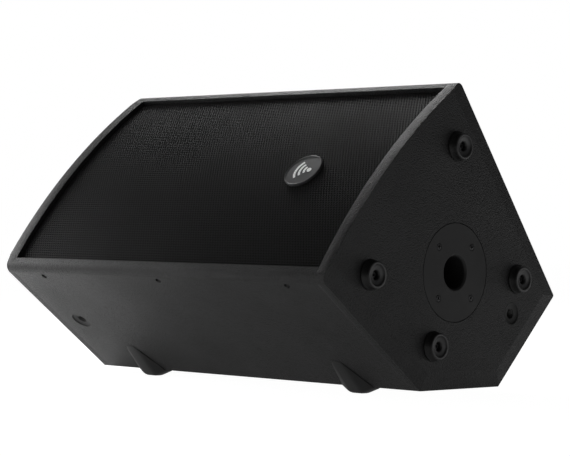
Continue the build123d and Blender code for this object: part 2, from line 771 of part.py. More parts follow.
# ---------------------------------------------------------------- pole socket
with BuildPart() as pole_socket:
    with Locations(pole_place):
        Cylinder(POLE_PLATE_R, POLE_PLATE_THICK, align=top)
        Cylinder(POLE_R + POLE_TUBE_WALL, POLE_DEPTH + POLE_TUBE_WALL, align=top)
        Cylinder(POLE_R, POLE_DEPTH, align=top, mode=Mode.SUBTRACT)
        Cone(POLE_R, POLE_R + POLE_LIP, POLE_LIP, align=top, mode=Mode.SUBTRACT)
    sink_holes(pole_screw_places, *POLE_SCREW)
pole_socket.part.label = "pole_socket"
export_step(pole_socket.part, "parts/pole_socket.step")

with BuildPart() as pole_socket_screws:
    add(sunk_screws(pole_screw_places, *POLE_SCREW))
pole_socket_screws.part.label = "pole_socket_screws"
export_step(pole_socket_screws.part, "parts/pole_socket_screws.step")

# ---------------------------------------------------------------- rigging points
with BuildPart() as rigging_inserts:
    with Locations(*rig_places):
        with Locations((0, 0, -RIG_DISH_DEPTH)):
            Cylinder(RIG_SLEEVE_R, RIG_SLEEVE_LENGTH - RIG_DISH_DEPTH, align=top)
            Cylinder(RIG_THREAD_R, RIG_SLEEVE_LENGTH, align=top, mode=Mode.SUBTRACT)
rigging_inserts.part.label = "rigging_inserts"
export_step(rigging_inserts.part, "parts/rigging_inserts.step")

with BuildPart() as rigging_dishes:
    with Locations(*rig_places):
        Cylinder(RIG_DISH_R, RIG_DISH_DEPTH, align=top)
        Cone(RIG_THREAD_R + 1, RIG_DISH_R - 1, RIG_DISH_DEPTH, align=top, mode=Mode.SUBTRACT)
rigging_dishes.part.label = "rigging_dishes"
export_step(rigging_dishes.part, "parts/rigging_dishes.step")

# ---------------------------------------------------------------- fin feet


def fin(corner, wall_rise, floor_run):
    """A fin over one edge of the floor cut, as a gabled block with a flat toe.

    corner is the edge in (s, n); wall_rise and floor_run are the directions up the wall and
    in under the floor cut.
    """
    down = Vector(-sin(radians(WEDGE_TILT)), -cos(radians(WEDGE_TILT)))
    edge = Vector(*corner)
    tip = edge + wall_rise * FIN_RISE
    toe = edge + down * FIN_DROP - floor_run * FIN_TOE
    heel = toe + floor_run * FIN_FLAT_LENGTH
    lap = edge + floor_run * FIN_LAP
    with BuildPart() as block:
        with BuildSketch(SECTION):
            with BuildLine():
                Polyline(
                    (tip.X, tip.Y),
                    (toe.X, toe.Y),
                    (heel.X, heel.Y),
                    (lap.X, lap.Y),
                    (edge.X, edge.Y),
                    close=True,
                )
            make_face()
        extrude(amount=FIN_WIDTH / 2, both=True)
        for side in (-1, 1):
            root = spot(side * FIN_WIDTH / 2, edge.X, edge.Y)
            flat_toe = spot(side * FIN_FLAT_WIDTH / 2, toe.X, toe.Y)
            flat_heel = spot(side * FIN_FLAT_WIDTH / 2, heel.X, heel.Y)
            point = spot(side * FIN_TIP_WIDTH / 2, tip.X, tip.Y)
            for a, b, c in ((point, root, flat_toe), (root, flat_heel, flat_toe)):
                normal = (b - a).cross(c - a)
                if normal.X * side < 0:
                    normal = -normal
                split(bisect_by=Plane(origin=a, z_dir=normal), keep=Keep.BOTTOM)
    return block.part


wall_up = (Vector(*front_low) - Vector(*cut_front)).normalized()
cut_run = (Vector(*cut_rear) - Vector(*cut_front)).normalized()
rear_up = (Vector(*top_rear) - Vector(*cut_rear)).normalized()
with BuildPart() as floor_fins:
    front_fin = fin(cut_front, wall_up, cut_run)
    rear_fin = fin(cut_rear, rear_up, -cut_run)
    with Locations((-FIN_X, 0, 0), (FIN_X, 0, 0)):
        add(front_fin)
        add(rear_fin)
floor_fins.part.label = "floor_fins"
export_step(floor_fins.part, "parts/floor_fins.step")

# ---------------------------------------------------------------- handle
with BuildPart() as handle_cup:
    with BuildSketch(handle_place):
        RectangleRounded(handle_flange_length, handle_flange_width, HANDLE_CORNER_R + HANDLE_BORDER)
    extrude(amount=HANDLE_FLANGE)
    with BuildSketch(handle_place):
        RectangleRounded(
            HANDLE_LENGTH + 2 * HANDLE_WALL,
            HANDLE_WIDTH + 2 * HANDLE_WALL,
            HANDLE_CORNER_R + HANDLE_WALL,
        )
    extrude(amount=-HANDLE_DEPTH)
    with BuildSketch(at(handle_place, 0, 0, HANDLE_FLANGE)):
        RectangleRounded(HANDLE_LENGTH, HANDLE_WIDTH, HANDLE_CORNER_R)
    extrude(amount=-(HANDLE_DEPTH + HANDLE_FLANGE - HANDLE_WALL), mode=Mode.SUBTRACT)
    sink_holes(handle_screw_places, *HANDLE_SCREW)
handle_cup.part.label = "handle_cup"
export_step(handle_cup.part, "parts/handle_cup.step")

with BuildPart() as handle_grip:
    with Locations(at(handle_place, 0, 0, -GRIP_SINK)):
        Cylinder(GRIP_R, HANDLE_LENGTH, rotation=(0, 90, 0))
    swell = handle_grip.edges().filter_by(GeomType.CIRCLE)
    chamfer(swell, GRIP_EDGE)
handle_grip.part.label = "handle_grip"
export_step(handle_grip.part, "parts/handle_grip.step")

with BuildPart() as handle_screws:
    add(sunk_screws(handle_screw_places, *HANDLE_SCREW))
handle_screws.part.label = "handle_screws"
export_step(handle_screws.part, "parts/handle_screws.step")

# ---------------------------------------------------------------- woofer


def turned(plane, points):
    """A solid of revolution from its half section of (radius, height) points."""
    with BuildPart() as body:
        with BuildSketch(Plane.XZ):
            with BuildLine():
                Polyline(*points, close=True)
            make_face()
        revolve(axis=Axis.Z)
    with BuildPart() as placed:
        with Locations(plane):
            add(body.part)
    return placed.part


basket_foot = TOP_PLATE_FRONT + BASKET_WALL
basket_bore_r = MAGNET_BORE_R + BASKET_WALL
with BuildPart() as woofer_basket:
    add(
        turned(
            WOOFER,
            [
                (BASKET_LIP_R, 0),
                (BASKET_LIP_R, WOOFER_RIM_THICK),
                (WOOFER_RIM_R, WOOFER_RIM_THICK),
                (WOOFER_RIM_R, 0),
                (WOOFER_HOLE_R - 1, 0),
                (WOOFER_HOLE_R - 2, -BAFFLE_THICK),
                (BASKET_WAIST_R, SPIDER_Z - BASKET_WALL),
                (BASKET_FOOT_R, TOP_PLATE_FRONT),
                (basket_bore_r, TOP_PLATE_FRONT),
                (basket_bore_r, basket_foot),
                (BASKET_FOOT_R - BASKET_WALL, basket_foot),
                (BASKET_FOOT_R - BASKET_WALL, SPIDER_Z - BASKET_WALL),
                (BASKET_LEDGE_R, SPIDER_Z - BASKET_WALL),
                (BASKET_LEDGE_R, SPIDER_Z - SPIDER_SEAT),
                (BASKET_FOOT_R, SPIDER_Z - SPIDER_SEAT),
                (BASKET_LIP_R + BASKET_FOOT_R - SPIDER_R, -BAFFLE_THICK),
            ],
        )
    )
    with Locations(at(WOOFER, 0, 0, -BAFFLE_THICK - BASKET_WINDOW_BACK)):
        with PolarLocations(BASKET_WINDOW_R, BASKET_WINDOWS):
            Box(*BASKET_WINDOW, mode=Mode.SUBTRACT)
    drill(woofer_screw_places, WOOFER_SCREW[1] + SCREW_FIT, WOOFER_RIM_THICK + 1)
woofer_basket.part.label = "woofer_basket"
export_step(woofer_basket.part, "parts/woofer_basket.step")

with BuildPart() as woofer_gasket:
    with Locations(at(WOOFER, 0, 0, WOOFER_RIM_THICK)):
        ring(GASKET_OUTER_R, GASKET_INNER_R, GASKET_THICK)
    drill(woofer_screw_places, WOOFER_SCREW[0] + SCREW_FIT, GASKET_THICK + 1)
woofer_gasket.part.label = "woofer_gasket"
export_step(woofer_gasket.part, "parts/woofer_gasket.step")

former_inner_r = COIL_R - FORMER_THICK
winding_r = COIL_R + WINDING_THICK
plate_back = TOP_PLATE_FRONT - TOP_PLATE_THICK
magnet_back = plate_back - MAGNET_THICK
winding_mid = TOP_PLATE_FRONT - TOP_PLATE_THICK / 2
with BuildPart() as woofer_top_plate:
    with Locations(at(WOOFER, 0, 0, TOP_PLATE_FRONT)):
        ring(PLATE_R, winding_r + MAGNET_GAP, TOP_PLATE_THICK, align=top)
woofer_top_plate.part.label = "woofer_top_plate"
export_step(woofer_top_plate.part, "parts/woofer_top_plate.step")

with BuildPart() as woofer_magnet:
    with Locations(at(WOOFER, 0, 0, plate_back)):
        ring(MAGNET_R, MAGNET_BORE_R, MAGNET_THICK, align=top)
woofer_magnet.part.label = "woofer_magnet"
export_step(woofer_magnet.part, "parts/woofer_magnet.step")

with BuildPart() as woofer_back_plate:
    with Locations(at(WOOFER, 0, 0, magnet_back)):
        Cylinder(PLATE_R, BACK_PLATE_THICK, align=top)
        Cylinder(former_inner_r - MAGNET_GAP, TOP_PLATE_FRONT - magnet_back, align=bottom)
    drill([at(WOOFER, 0, 0, magnet_back)], VENT_R, MAGNET_THICK + 2 * BACK_PLATE_THICK)
woofer_back_plate.part.label = "woofer_back_plate"
export_step(woofer_back_plate.part, "parts/woofer_back_plate.step")

cone_face = WOOFER_RIM_THICK - GLUE_LINE
with BuildPart() as woofer_cone:
    add(
        turned(
            WOOFER,
            [
                (CONE_R, cone_face),
                (CONE_R - CONE_LIP, cone_face),
                (COIL_R + 1, CONE_BACK + CONE_THICK),
                (COIL_R, CONE_BACK + CONE_THICK),
                (COIL_R, CONE_BACK - CONE_THICK),
                (COIL_R + 1.5, CONE_BACK - CONE_THICK),
                (CONE_R - CONE_LIP + 1, cone_face - CONE_THICK),
                (CONE_R, cone_face - CONE_THICK),
            ],
        )
    )
woofer_cone.part.label = "woofer_cone"
export_step(woofer_cone.part, "parts/woofer_cone.step")

dome_base = CONE_BACK + 3
dome_r = COIL_R + DOME_LAP
dome_curve_r = (dome_r**2 + DOME_RISE**2) / (2 * DOME_RISE)
with BuildPart() as one_dome:
    with BuildSketch(Plane.XZ):
        with BuildLine():
            RadiusArc((dome_r, 0), (0, DOME_RISE), -dome_curve_r)
            Line((0, DOME_RISE), (0, DOME_RISE - CONE_THICK))
            RadiusArc((0, DOME_RISE - CONE_THICK), (dome_r, -CONE_THICK), dome_curve_r)
            Line((dome_r, -CONE_THICK), (dome_r, 0))
        make_face()
    revolve(axis=Axis.Z)

cone_slope = (cone_face - CONE_BACK - CONE_THICK) / (CONE_R - CONE_LIP - COIL_R - 1)
dome_seat = CONE_BACK + CONE_THICK + cone_slope * (dome_r - COIL_R - 1) + CONE_THICK
with BuildPart() as woofer_dust_cap:
    with Locations(at(WOOFER, 0, 0, dome_seat)):
        add(one_dome.part)
woofer_dust_cap.part.label = "woofer_dust_cap"
export_step(woofer_dust_cap.part, "parts/woofer_dust_cap.step")

with BuildPart() as one_surround:
    with BuildSketch(Plane.XZ):
        Rectangle(2 * SURROUND_OUTER_R, SURROUND_THICK, align=(Align.CENTER, Align.MIN))
        Rectangle(
            2 * (CONE_R - CONE_LIP),
            2 * SURROUND_THICK,
            mode=Mode.SUBTRACT,
        )
        with Locations((SURROUND_MID_R, 0)):
            Circle(SURROUND_ROLL_R)
            Circle(SURROUND_ROLL_R - SURROUND_THICK, mode=Mode.SUBTRACT)
            Rectangle(
                4 * SURROUND_ROLL_R,
                2 * SURROUND_ROLL_R,
                align=(Align.CENTER, Align.MAX),
                mode=Mode.SUBTRACT,
            )
        with Locations((-SURROUND_OUTER_R, 0)):
            Rectangle(
                2 * SURROUND_OUTER_R,
                4 * SURROUND_ROLL_R,
                mode=Mode.SUBTRACT,
            )
    revolve(axis=Axis.Z)

with BuildPart() as woofer_surround:
    with Locations(at(WOOFER, 0, 0, WOOFER_RIM_THICK)):
        add(one_surround.part)
woofer_surround.part.label = "woofer_surround"
export_step(woofer_surround.part, "parts/woofer_surround.step")

# The spider's corrugations alternate between two heights.
spider_start = COIL_R + GLUE_LINE
spider_step = (SPIDER_R - 2 - spider_start) / (2 * SPIDER_RIDGES)
spider_top = [
    (spider_start + k * spider_step, SPIDER_Z + (SPIDER_RIDGE_HEIGHT if k % 2 else 0))
    for k in range(2 * SPIDER_RIDGES + 1)
] + [(SPIDER_R + 4, SPIDER_Z)]
spider_under = [(r, z - SURROUND_THICK) for r, z in reversed(spider_top)]
with BuildPart() as woofer_spider:
    add(turned(WOOFER, spider_top + spider_under))
woofer_spider.part.label = "woofer_spider"
export_step(woofer_spider.part, "parts/woofer_spider.step")

former_back = winding_mid - WINDING_HEIGHT / 2
with BuildPart() as woofer_voice_coil:
    with Locations(at(WOOFER, 0, 0, former_back)):
        Cylinder(COIL_R, CONE_BACK + CONE_THICK - former_back, align=bottom)
        Cylinder(winding_r, WINDING_HEIGHT, align=bottom)
        Cylinder(former_inner_r, CONE_BACK + CONE_THICK - former_back, align=bottom, mode=Mode.SUBTRACT)
woofer_voice_coil.part.label = "woofer_voice_coil"
export_step(woofer_voice_coil.part, "parts/woofer_voice_coil.step")

with BuildPart() as woofer_screws:
    with Locations(*woofer_screw_places):
        Cylinder(WOOFER_SCREW[0], GASKET_THICK, align=bottom)
        Cylinder(WOOFER_SCREW[1], WOOFER_SCREW[2] - 2, align=top)
        with Locations((0, 0, GASKET_THICK)):
            Cylinder(WOOFER_SCREW[1], 2 * (GASKET_THICK - 1), mode=Mode.SUBTRACT)
woofer_screws.part.label = "woofer_screws"
export_step(woofer_screws.part, "parts/woofer_screws.step")

# ---------------------------------------------------------------- horn and its driver
with BuildPart() as horn:
    with BuildSketch(HORN):
        RectangleRounded(HORN_LENGTH, HORN_WIDTH, HORN_BORDER)
    extrude(amount=HORN_FLANGE_THICK)
    with BuildSketch(HORN):
        RectangleRounded(horn_bore[0] + 2 * HORN_SHELL, horn_bore[1] + 2 * HORN_SHELL, HORN_BORDER)
    with BuildSketch(at(HORN, 0, 0, -HORN_DEPTH)):
        Circle(THROAT_R + HORN_SHELL)
    loft()
    with Locations(at(HORN, 0, 0, -HORN_DEPTH)):
        Cylinder(THROAT_FLANGE_R, THROAT_FLANGE_THICK, align=top)
        Cylinder(THROAT_R, 2 * THROAT_FLANGE_THICK, align=top, mode=Mode.SUBTRACT)
    with BuildSketch(at(HORN, 0, 0, HORN_FLANGE_THICK)):
        RectangleRounded(horn_bore[0], horn_bore[1], HORN_BORDER)
    with BuildSketch(at(HORN, 0, 0, -HORN_DEPTH)):
        Circle(THROAT_R)
    loft(mode=Mode.SUBTRACT)
    sink_holes(horn_screw_places, *HORN_SCREW)
horn.part.label = "horn"
export_step(horn.part, "parts/horn.step")

with BuildPart() as horn_screws:
    add(sunk_screws(horn_screw_places, *HORN_SCREW))
horn_screws.part.label = "horn_screws"
export_step(horn_screws.part, "parts/horn_screws.step")

driver_front = -HORN_DEPTH - THROAT_FLANGE_THICK
driver_back = driver_front - DRIVER_THICK
with BuildPart() as hf_driver_body:
    with Locations(at(HORN, 0, 0, driver_front)):
        ring(DRIVER_R, THROAT_R, DRIVER_THICK, align=top)
    with Locations(at(HORN, 0, 0, driver_back)):
        Cylinder(DIAPHRAGM_R + DIAPHRAGM_SLOT, 2 * (DIAPHRAGM_COIL + 1), mode=Mode.SUBTRACT)
        Cylinder(DIAPHRAGM_R - DIAPHRAGM_THICK - DIAPHRAGM_SLOT, DIAPHRAGM_COIL + 2, align=bottom)
        Cylinder(THROAT_R, 2 * DRIVER_THICK, mode=Mode.SUBTRACT)
hf_driver_body.part.label = "hf_driver_body"
export_step(hf_driver_body.part, "parts/hf_driver_body.step")

# The diaphragm is a shallow dome whose coil hangs in the driver's slot.
with BuildPart() as hf_diaphragm:
    with Locations(at(HORN, 0, 0, driver_back - DIAPHRAGM_LIFT)):
        ring(DIAPHRAGM_R, DIAPHRAGM_R - DIAPHRAGM_THICK, DIAPHRAGM_COIL + DIAPHRAGM_LIFT)
        Cone(DIAPHRAGM_R / 3, DIAPHRAGM_R, DIAPHRAGM_R / 3, align=top)
        with Locations((0, 0, DIAPHRAGM_THICK)):
            Cone(
                DIAPHRAGM_R / 3 - DIAPHRAGM_THICK,
                DIAPHRAGM_R - DIAPHRAGM_THICK,
                DIAPHRAGM_R / 3,
                align=top,
                mode=Mode.SUBTRACT,
            )
hf_diaphragm.part.label = "hf_diaphragm"
export_step(hf_diaphragm.part, "parts/hf_diaphragm.step")

with BuildPart() as hf_rear_cap:
    with Locations(at(HORN, 0, 0, driver_back)):
        Cylinder(CAP_R, CAP_HEIGHT, align=top)
        Cylinder(CAP_R - CAP_WALL, CAP_HEIGHT - CAP_WALL, align=top, mode=Mode.SUBTRACT)
    cap_rims = hf_rear_cap.edges().filter_by(GeomType.CIRCLE).sort_by(Axis(HORN.origin, HORN.z_dir))
    fillet(cap_rims[0], CAP_WALL)
hf_rear_cap.part.label = "hf_rear_cap"
export_step(hf_rear_cap.part, "parts/hf_rear_cap.step")

with BuildPart() as port_tubes:
    with Locations(*port_places):
        Cylinder(PORT_FLANGE_R, PORT_FLANGE_THICK, align=bottom)
        Cylinder(PORT_R + PORT_WALL, PORT_LENGTH, align=top)
        Cylinder(PORT_R, 3 * PORT_LENGTH, mode=Mode.SUBTRACT)
port_tubes.part.label = "port_tubes"
export_step(port_tubes.part, "parts/port_tubes.step")

# ---------------------------------------------------------------- amplifier module
knob_place = at(REAR, *KNOB_SPOT)
button_place = at(REAR, *BUTTON_SPOT)
rocker_place = at(REAR, *ROCKER_SPOT)
inlet_place = at(REAR, *INLET_SPOT)
input_place = at(REAR, *INPUT_SPOT)
link_place = at(REAR, *LINK_SPOT)
light_places = [at(REAR, LIGHT_SPOT[0], LIGHT_SPOT[1] + k * LIGHT_PITCH) for k in (0, 1, 2)]
frame_inner = (2 * (ROCKER_R + ROCKER_FIT), ROCKER_WIDTH + ROCKER_FIT)
frame_outer = (frame_inner[0] + 2 * FRAME_WALL, frame_inner[1] + 2 * FRAME_WALL)
inlet_body = (INLET_CAVITY[0] + 2 * INLET_WALL, INLET_CAVITY[1] + 2 * INLET_WALL)
post_x = BOARD_LENGTH / 2 - 2 * POST_R
post_y = BOARD_WIDTH / 2 - 2 * POST_R

with BuildPart() as amp_panel:
    with Locations(REAR):
        Box(AMP_LENGTH, AMP_WIDTH, AMP_PANEL_THICK, align=top)
        with GridLocations(2 * post_x, 2 * post_y, 2, 2):
            Cylinder(POST_R, -BOARD_Z, align=top)
    sink_holes(amp_screw_places, *AMP_SCREW)
    drill([knob_place], BUSH_R + PANEL_FIT, 2 * AMP_PANEL_THICK)
    drill([button_place], BUTTON_R + BUTTON_FIT, 2 * AMP_PANEL_THICK)
    drill([input_place, link_place], SOCKET_R + PANEL_FIT, 2 * AMP_PANEL_THICK)
    drill(light_places, LIGHT_R + PANEL_FIT, 2 * AMP_PANEL_THICK)
    with Locations(rocker_place):
        Box(
            frame_outer[0] + 2 * PANEL_FIT,
            frame_outer[1] + 2 * PANEL_FIT,
            4 * AMP_PANEL_THICK,
            mode=Mode.SUBTRACT,
        )
    with Locations(inlet_place):
        Box(
            inlet_body[0] + 2 * PANEL_FIT,
            inlet_body[1] + 2 * PANEL_FIT,
            4 * AMP_PANEL_THICK,
            mode=Mode.SUBTRACT,
        )
amp_panel.part.label = "amp_panel"
export_step(amp_panel.part, "parts/amp_panel.step")

with BuildPart() as amp_gasket:
    with Locations(at(REAR, 0, 0, -AMP_PANEL_THICK)):
        Box(AMP_LENGTH, AMP_WIDTH, AMP_GASKET_THICK, align=top)
        Box(
            AMP_LENGTH - 2 * AMP_LEDGE,
            AMP_WIDTH - 2 * AMP_LEDGE,
            3 * AMP_GASKET_THICK,
            mode=Mode.SUBTRACT,
        )
    drill(amp_screw_places, AMP_SCREW[1] + SCREW_FIT, 2 * AMP_PANEL_THICK)
amp_gasket.part.label = "amp_gasket"
export_step(amp_gasket.part, "parts/amp_gasket.step")

sink_pitch = (SINK_WIDTH - SINK_FIN_THICK) / (SINK_FIN_COUNT - 1)
with BuildPart() as heat_sink:
    with Locations(at(REAR, SINK_X, 0)):
        Box(SINK_LENGTH, SINK_WIDTH, SINK_BASE, align=bottom)
        with Locations((0, 0, SINK_BASE)):
            with GridLocations(0, sink_pitch, 1, SINK_FIN_COUNT):
                Box(SINK_LENGTH, SINK_FIN_THICK, SINK_FIN_HEIGHT, align=bottom)
heat_sink.part.label = "heat_sink"
export_step(heat_sink.part, "parts/heat_sink.step")

with BuildPart() as amp_board:
    with Locations(at(REAR, 0, 0, BOARD_Z)):
        Box(BOARD_LENGTH, BOARD_WIDTH, BOARD_THICK, align=top)
amp_board.part.label = "amp_board"
export_step(amp_board.part, "parts/amp_board.step")

board_back = BOARD_Z - BOARD_THICK
with BuildPart() as power_transformer:
    with Locations(at(REAR, -BOARD_LENGTH / 3, 0, board_back)):
        ring(TRANSFORMER_R, TRANSFORMER_BORE_R, TRANSFORMER_HEIGHT, align=top)
    fillet(power_transformer.edges().filter_by(GeomType.CIRCLE), TRANSFORMER_EDGE_R)
power_transformer.part.label = "power_transformer"
export_step(power_transformer.part, "parts/power_transformer.step")

with BuildPart() as capacitors:
    with Locations(at(REAR, BOARD_LENGTH / 6, 0, board_back)):
        with GridLocations(3 * CAPACITOR_R, 3 * CAPACITOR_R, 2, 2):
            Cylinder(CAPACITOR_R, CAPACITOR_HEIGHT, align=top)
capacitors.part.label = "capacitors"
export_step(capacitors.part, "parts/capacitors.step")

with BuildPart() as amp_screws:
    add(sunk_screws(amp_screw_places, *AMP_SCREW))
amp_screws.part.label = "amp_screws"
export_step(amp_screws.part, "parts/amp_screws.step")

# ---------------------------------------------------------------- controls
with BuildPart() as volume_pot:
    with Locations(at(REAR, KNOB_SPOT[0], KNOB_SPOT[1], -AMP_PANEL_THICK)):
        Cylinder(POT_R, POT_DEPTH, align=top)
        Cylinder(BUSH_R, AMP_PANEL_THICK + KNOB_LIFT - 1, align=bottom)
        Cylinder(SHAFT_R + SHAFT_FIT, 6 * KNOB_LIFT, align=bottom, mode=Mode.SUBTRACT)
        Cylinder(SHAFT_R + SHAFT_FIT, POT_DEPTH - 2, align=top, mode=Mode.SUBTRACT)
volume_pot.part.label = "volume_pot"
export_step(volume_pot.part, "parts/volume_pot.step")

with BuildPart() as volume_knob:
    with Locations(at(REAR, KNOB_SPOT[0], KNOB_SPOT[1], KNOB_LIFT)):
        Cone(KNOB_R, KNOB_R - KNOB_DRAFT, KNOB_HEIGHT, align=bottom)
        with PolarLocations(KNOB_R, KNOB_RIBS):
            Cylinder(KNOB_GROOVE_R, 2 * (KNOB_HEIGHT - KNOB_DRAFT), mode=Mode.SUBTRACT)
        with Locations((0, 0, KNOB_HEIGHT)):
            with Locations((KNOB_R * 0.6, 0, 0)):
                Box(KNOB_R * 0.8, *KNOB_MARK, mode=Mode.SUBTRACT)
        Cylinder(SHAFT_R, KNOB_LIFT + AMP_PANEL_THICK + POT_DEPTH - 3, align=top)
volume_knob.part.label = "volume_knob"
export_step(volume_knob.part, "parts/volume_knob.step")

with BuildPart() as boost_switch:
    with Locations(at(REAR, BUTTON_SPOT[0], BUTTON_SPOT[1], -AMP_PANEL_THICK)):
        Box(SWITCH_SIZE, SWITCH_SIZE, SWITCH_DEPTH, align=top)
        Cylinder(BUTTON_R + BUTTON_FIT, SWITCH_DEPTH - SWITCH_FLOOR, align=top, mode=Mode.SUBTRACT)
boost_switch.part.label = "boost_switch"
export_step(boost_switch.part, "parts/boost_switch.step")

button_back = AMP_PANEL_THICK + SWITCH_DEPTH - SWITCH_FLOOR - BUTTON_TRAVEL - 1
with BuildPart() as boost_button:
    with Locations(button_place):
        Cylinder(BUTTON_R, BUTTON_HEIGHT, align=bottom)
        Cylinder(BUTTON_R, button_back, align=top)
    chamfer(boost_button.faces().sort_by(Axis(REAR.origin, REAR.z_dir))[-1].edges(), BUTTON_EDGE)
boost_button.part.label = "boost_button"
export_step(boost_button.part, "parts/boost_button.step")

rocker_pivot = at(REAR, ROCKER_SPOT[0], ROCKER_SPOT[1], ROCKER_PIVOT_Z)
frame_flange = (frame_outer[0] + 2 * FRAME_FLANGE, frame_outer[1] + 2 * FRAME_FLANGE)
with BuildPart() as rocker_frame:
    with Locations(rocker_place):
        Box(*frame_flange, FRAME_FLANGE_THICK, align=bottom)
        Box(*frame_outer, FRAME_DEPTH, align=top)
        Box(*frame_inner, 4 * FRAME_FLANGE_THICK, align=bottom, mode=Mode.SUBTRACT)
        Box(*frame_inner, FRAME_DEPTH - FRAME_WALL, align=top, mode=Mode.SUBTRACT)
    with Locations(rocker_pivot):
        Cylinder(
            ROCKER_PIN_R + ROCKER_PIN_FIT,
            frame_inner[1] + FRAME_WALL,
            rotation=(90, 0, 0),
            mode=Mode.SUBTRACT,
        )
rocker_frame.part.label = "rocker_frame"
export_step(rocker_frame.part, "parts/rocker_frame.step")

rocker_end = (
    ROCKER_R * cos(radians(ROCKER_END_ANGLE)),
    ROCKER_R * sin(radians(ROCKER_END_ANGLE)),
)
with BuildPart() as one_rocker:
    with BuildSketch(Plane.XZ):
        with BuildLine():
            Polyline(rocker_end, (0, ROCKER_DISH), (-rocker_end[0], rocker_end[1]))
            ThreePointArc((-rocker_end[0], rocker_end[1]), (0, -ROCKER_R), rocker_end)
        make_face()
    extrude(amount=ROCKER_WIDTH / 2, both=True)
    Cylinder(ROCKER_PIN_R, ROCKER_WIDTH + ROCKER_FIT + FRAME_WALL * 0.8, rotation=(90, 0, 0))

with BuildPart() as power_rocker:
    with Locations(rocker_pivot):
        add(one_rocker.part.rotate(Axis.Y, ROCKER_TILT))
power_rocker.part.label = "power_rocker"
export_step(power_rocker.part, "parts/power_rocker.step")

# ---------------------------------------------------------------- sockets and lights
with BuildPart() as mains_inlet:
    with Locations(inlet_place):
        Box(*INLET_FLANGE, align=bottom)
        Box(*inlet_body, INLET_CAVITY[2] + INLET_WALL, align=top)
        Box(INLET_CAVITY[0], INLET_CAVITY[1], 2 * INLET_CAVITY[2], mode=Mode.SUBTRACT)
        with Locations((0, 0, -INLET_CAVITY[2])):
            with Locations(*BLADE_SPOTS):
                Box(*BLADE, align=bottom)
mains_inlet.part.label = "mains_inlet"
export_step(mains_inlet.part, "parts/mains_inlet.step")

contact_places = [
    (CONTACT_CIRCLE_R * cos(radians(turn)), CONTACT_CIRCLE_R * sin(radians(turn)), 0)
    for turn in CONTACT_TURNS
]
latch_y = -SOCKET_R + LATCH[1] / 2 + LATCH_MARGIN
with BuildPart() as input_socket:
    with Locations(input_place):
        Box(*SOCKET_FLANGE, align=bottom)
        Cylinder(SOCKET_R, SOCKET_BODY_DEPTH, align=top)
        with Locations((0, 0, SOCKET_FLANGE[2])):
            with Locations(*contact_places):
                Cylinder(CONTACT_R + CONTACT_FIT, 2 * CONTACT_LENGTH, mode=Mode.SUBTRACT)
        with Locations((0, latch_y, 0)):
            Box(
                LATCH[0] + 2 * LATCH_FIT,
                LATCH[1] + 2 * LATCH_FIT,
                2 * (LATCH[2] + LATCH_TRAVEL),
                mode=Mode.SUBTRACT,
            )
input_socket.part.label = "input_socket"
export_step(input_socket.part, "parts/input_socket.step")

latch_z = SOCKET_FLANGE[2] + LATCH_TRAVEL + LATCH_PROUD
with BuildPart() as input_latch:
    with Locations(at(REAR, INPUT_SPOT[0], INPUT_SPOT[1] + latch_y, latch_z)):
        Box(*LATCH, align=top)
input_latch.part.label = "input_latch"
export_step(input_latch.part, "parts/input_latch.step")

with BuildPart() as link_socket:
    with Locations(link_place):
        Box(*SOCKET_FLANGE, align=bottom)
        Cylinder(SOCKET_R, SOCKET_BODY_DEPTH, align=top)
        Cylinder(SOCKET_CUP_R, 2 * SOCKET_CUP_DEPTH, mode=Mode.SUBTRACT)
        with Locations((0, 0, -SOCKET_CUP_DEPTH)):
            with Locations(*contact_places):
                Cylinder(CONTACT_R, CONTACT_LENGTH, align=bottom)
link_socket.part.label = "link_socket"
export_step(link_socket.part, "parts/link_socket.step")

with BuildPart() as status_lights:
    with Locations(*light_places):
        Cylinder(LIGHT_R, LIGHT_PROUD, align=bottom)
        Cylinder(LIGHT_R, AMP_PANEL_THICK + LIGHT_DEPTH, align=top)
status_lights.part.label = "status_lights"
export_step(status_lights.part, "parts/status_lights.step")
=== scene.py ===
"""Looks of the stage monitor wedge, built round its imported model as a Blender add-on."""

import json
from functools import cache
from math import asin, ceil, cos, degrees, hypot, pi, radians, sin, sqrt, tan

import bmesh
import bpy
from bpy.props import FloatProperty, FloatVectorProperty, IntProperty, PointerProperty
from mathutils import Matrix, Vector


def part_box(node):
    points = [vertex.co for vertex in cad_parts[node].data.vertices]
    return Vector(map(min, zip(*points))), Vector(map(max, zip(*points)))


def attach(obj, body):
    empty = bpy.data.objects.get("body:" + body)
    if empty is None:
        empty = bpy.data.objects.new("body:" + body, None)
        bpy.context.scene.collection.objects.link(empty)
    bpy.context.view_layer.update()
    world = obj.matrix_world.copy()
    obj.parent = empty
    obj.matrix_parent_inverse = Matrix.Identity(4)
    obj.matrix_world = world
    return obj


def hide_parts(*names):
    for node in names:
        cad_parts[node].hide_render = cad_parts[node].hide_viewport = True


bl_info = {
    "name": "Stage Monitor Wedge",
    "version": (1, 0, 0),
    "blender": (4, 5, 0),
    "location": "View3D > Sidebar > Wedge",
    "description": "Paint, grille, feet, sockets and studio for a stage monitor wedge",
    "category": "Object",
}

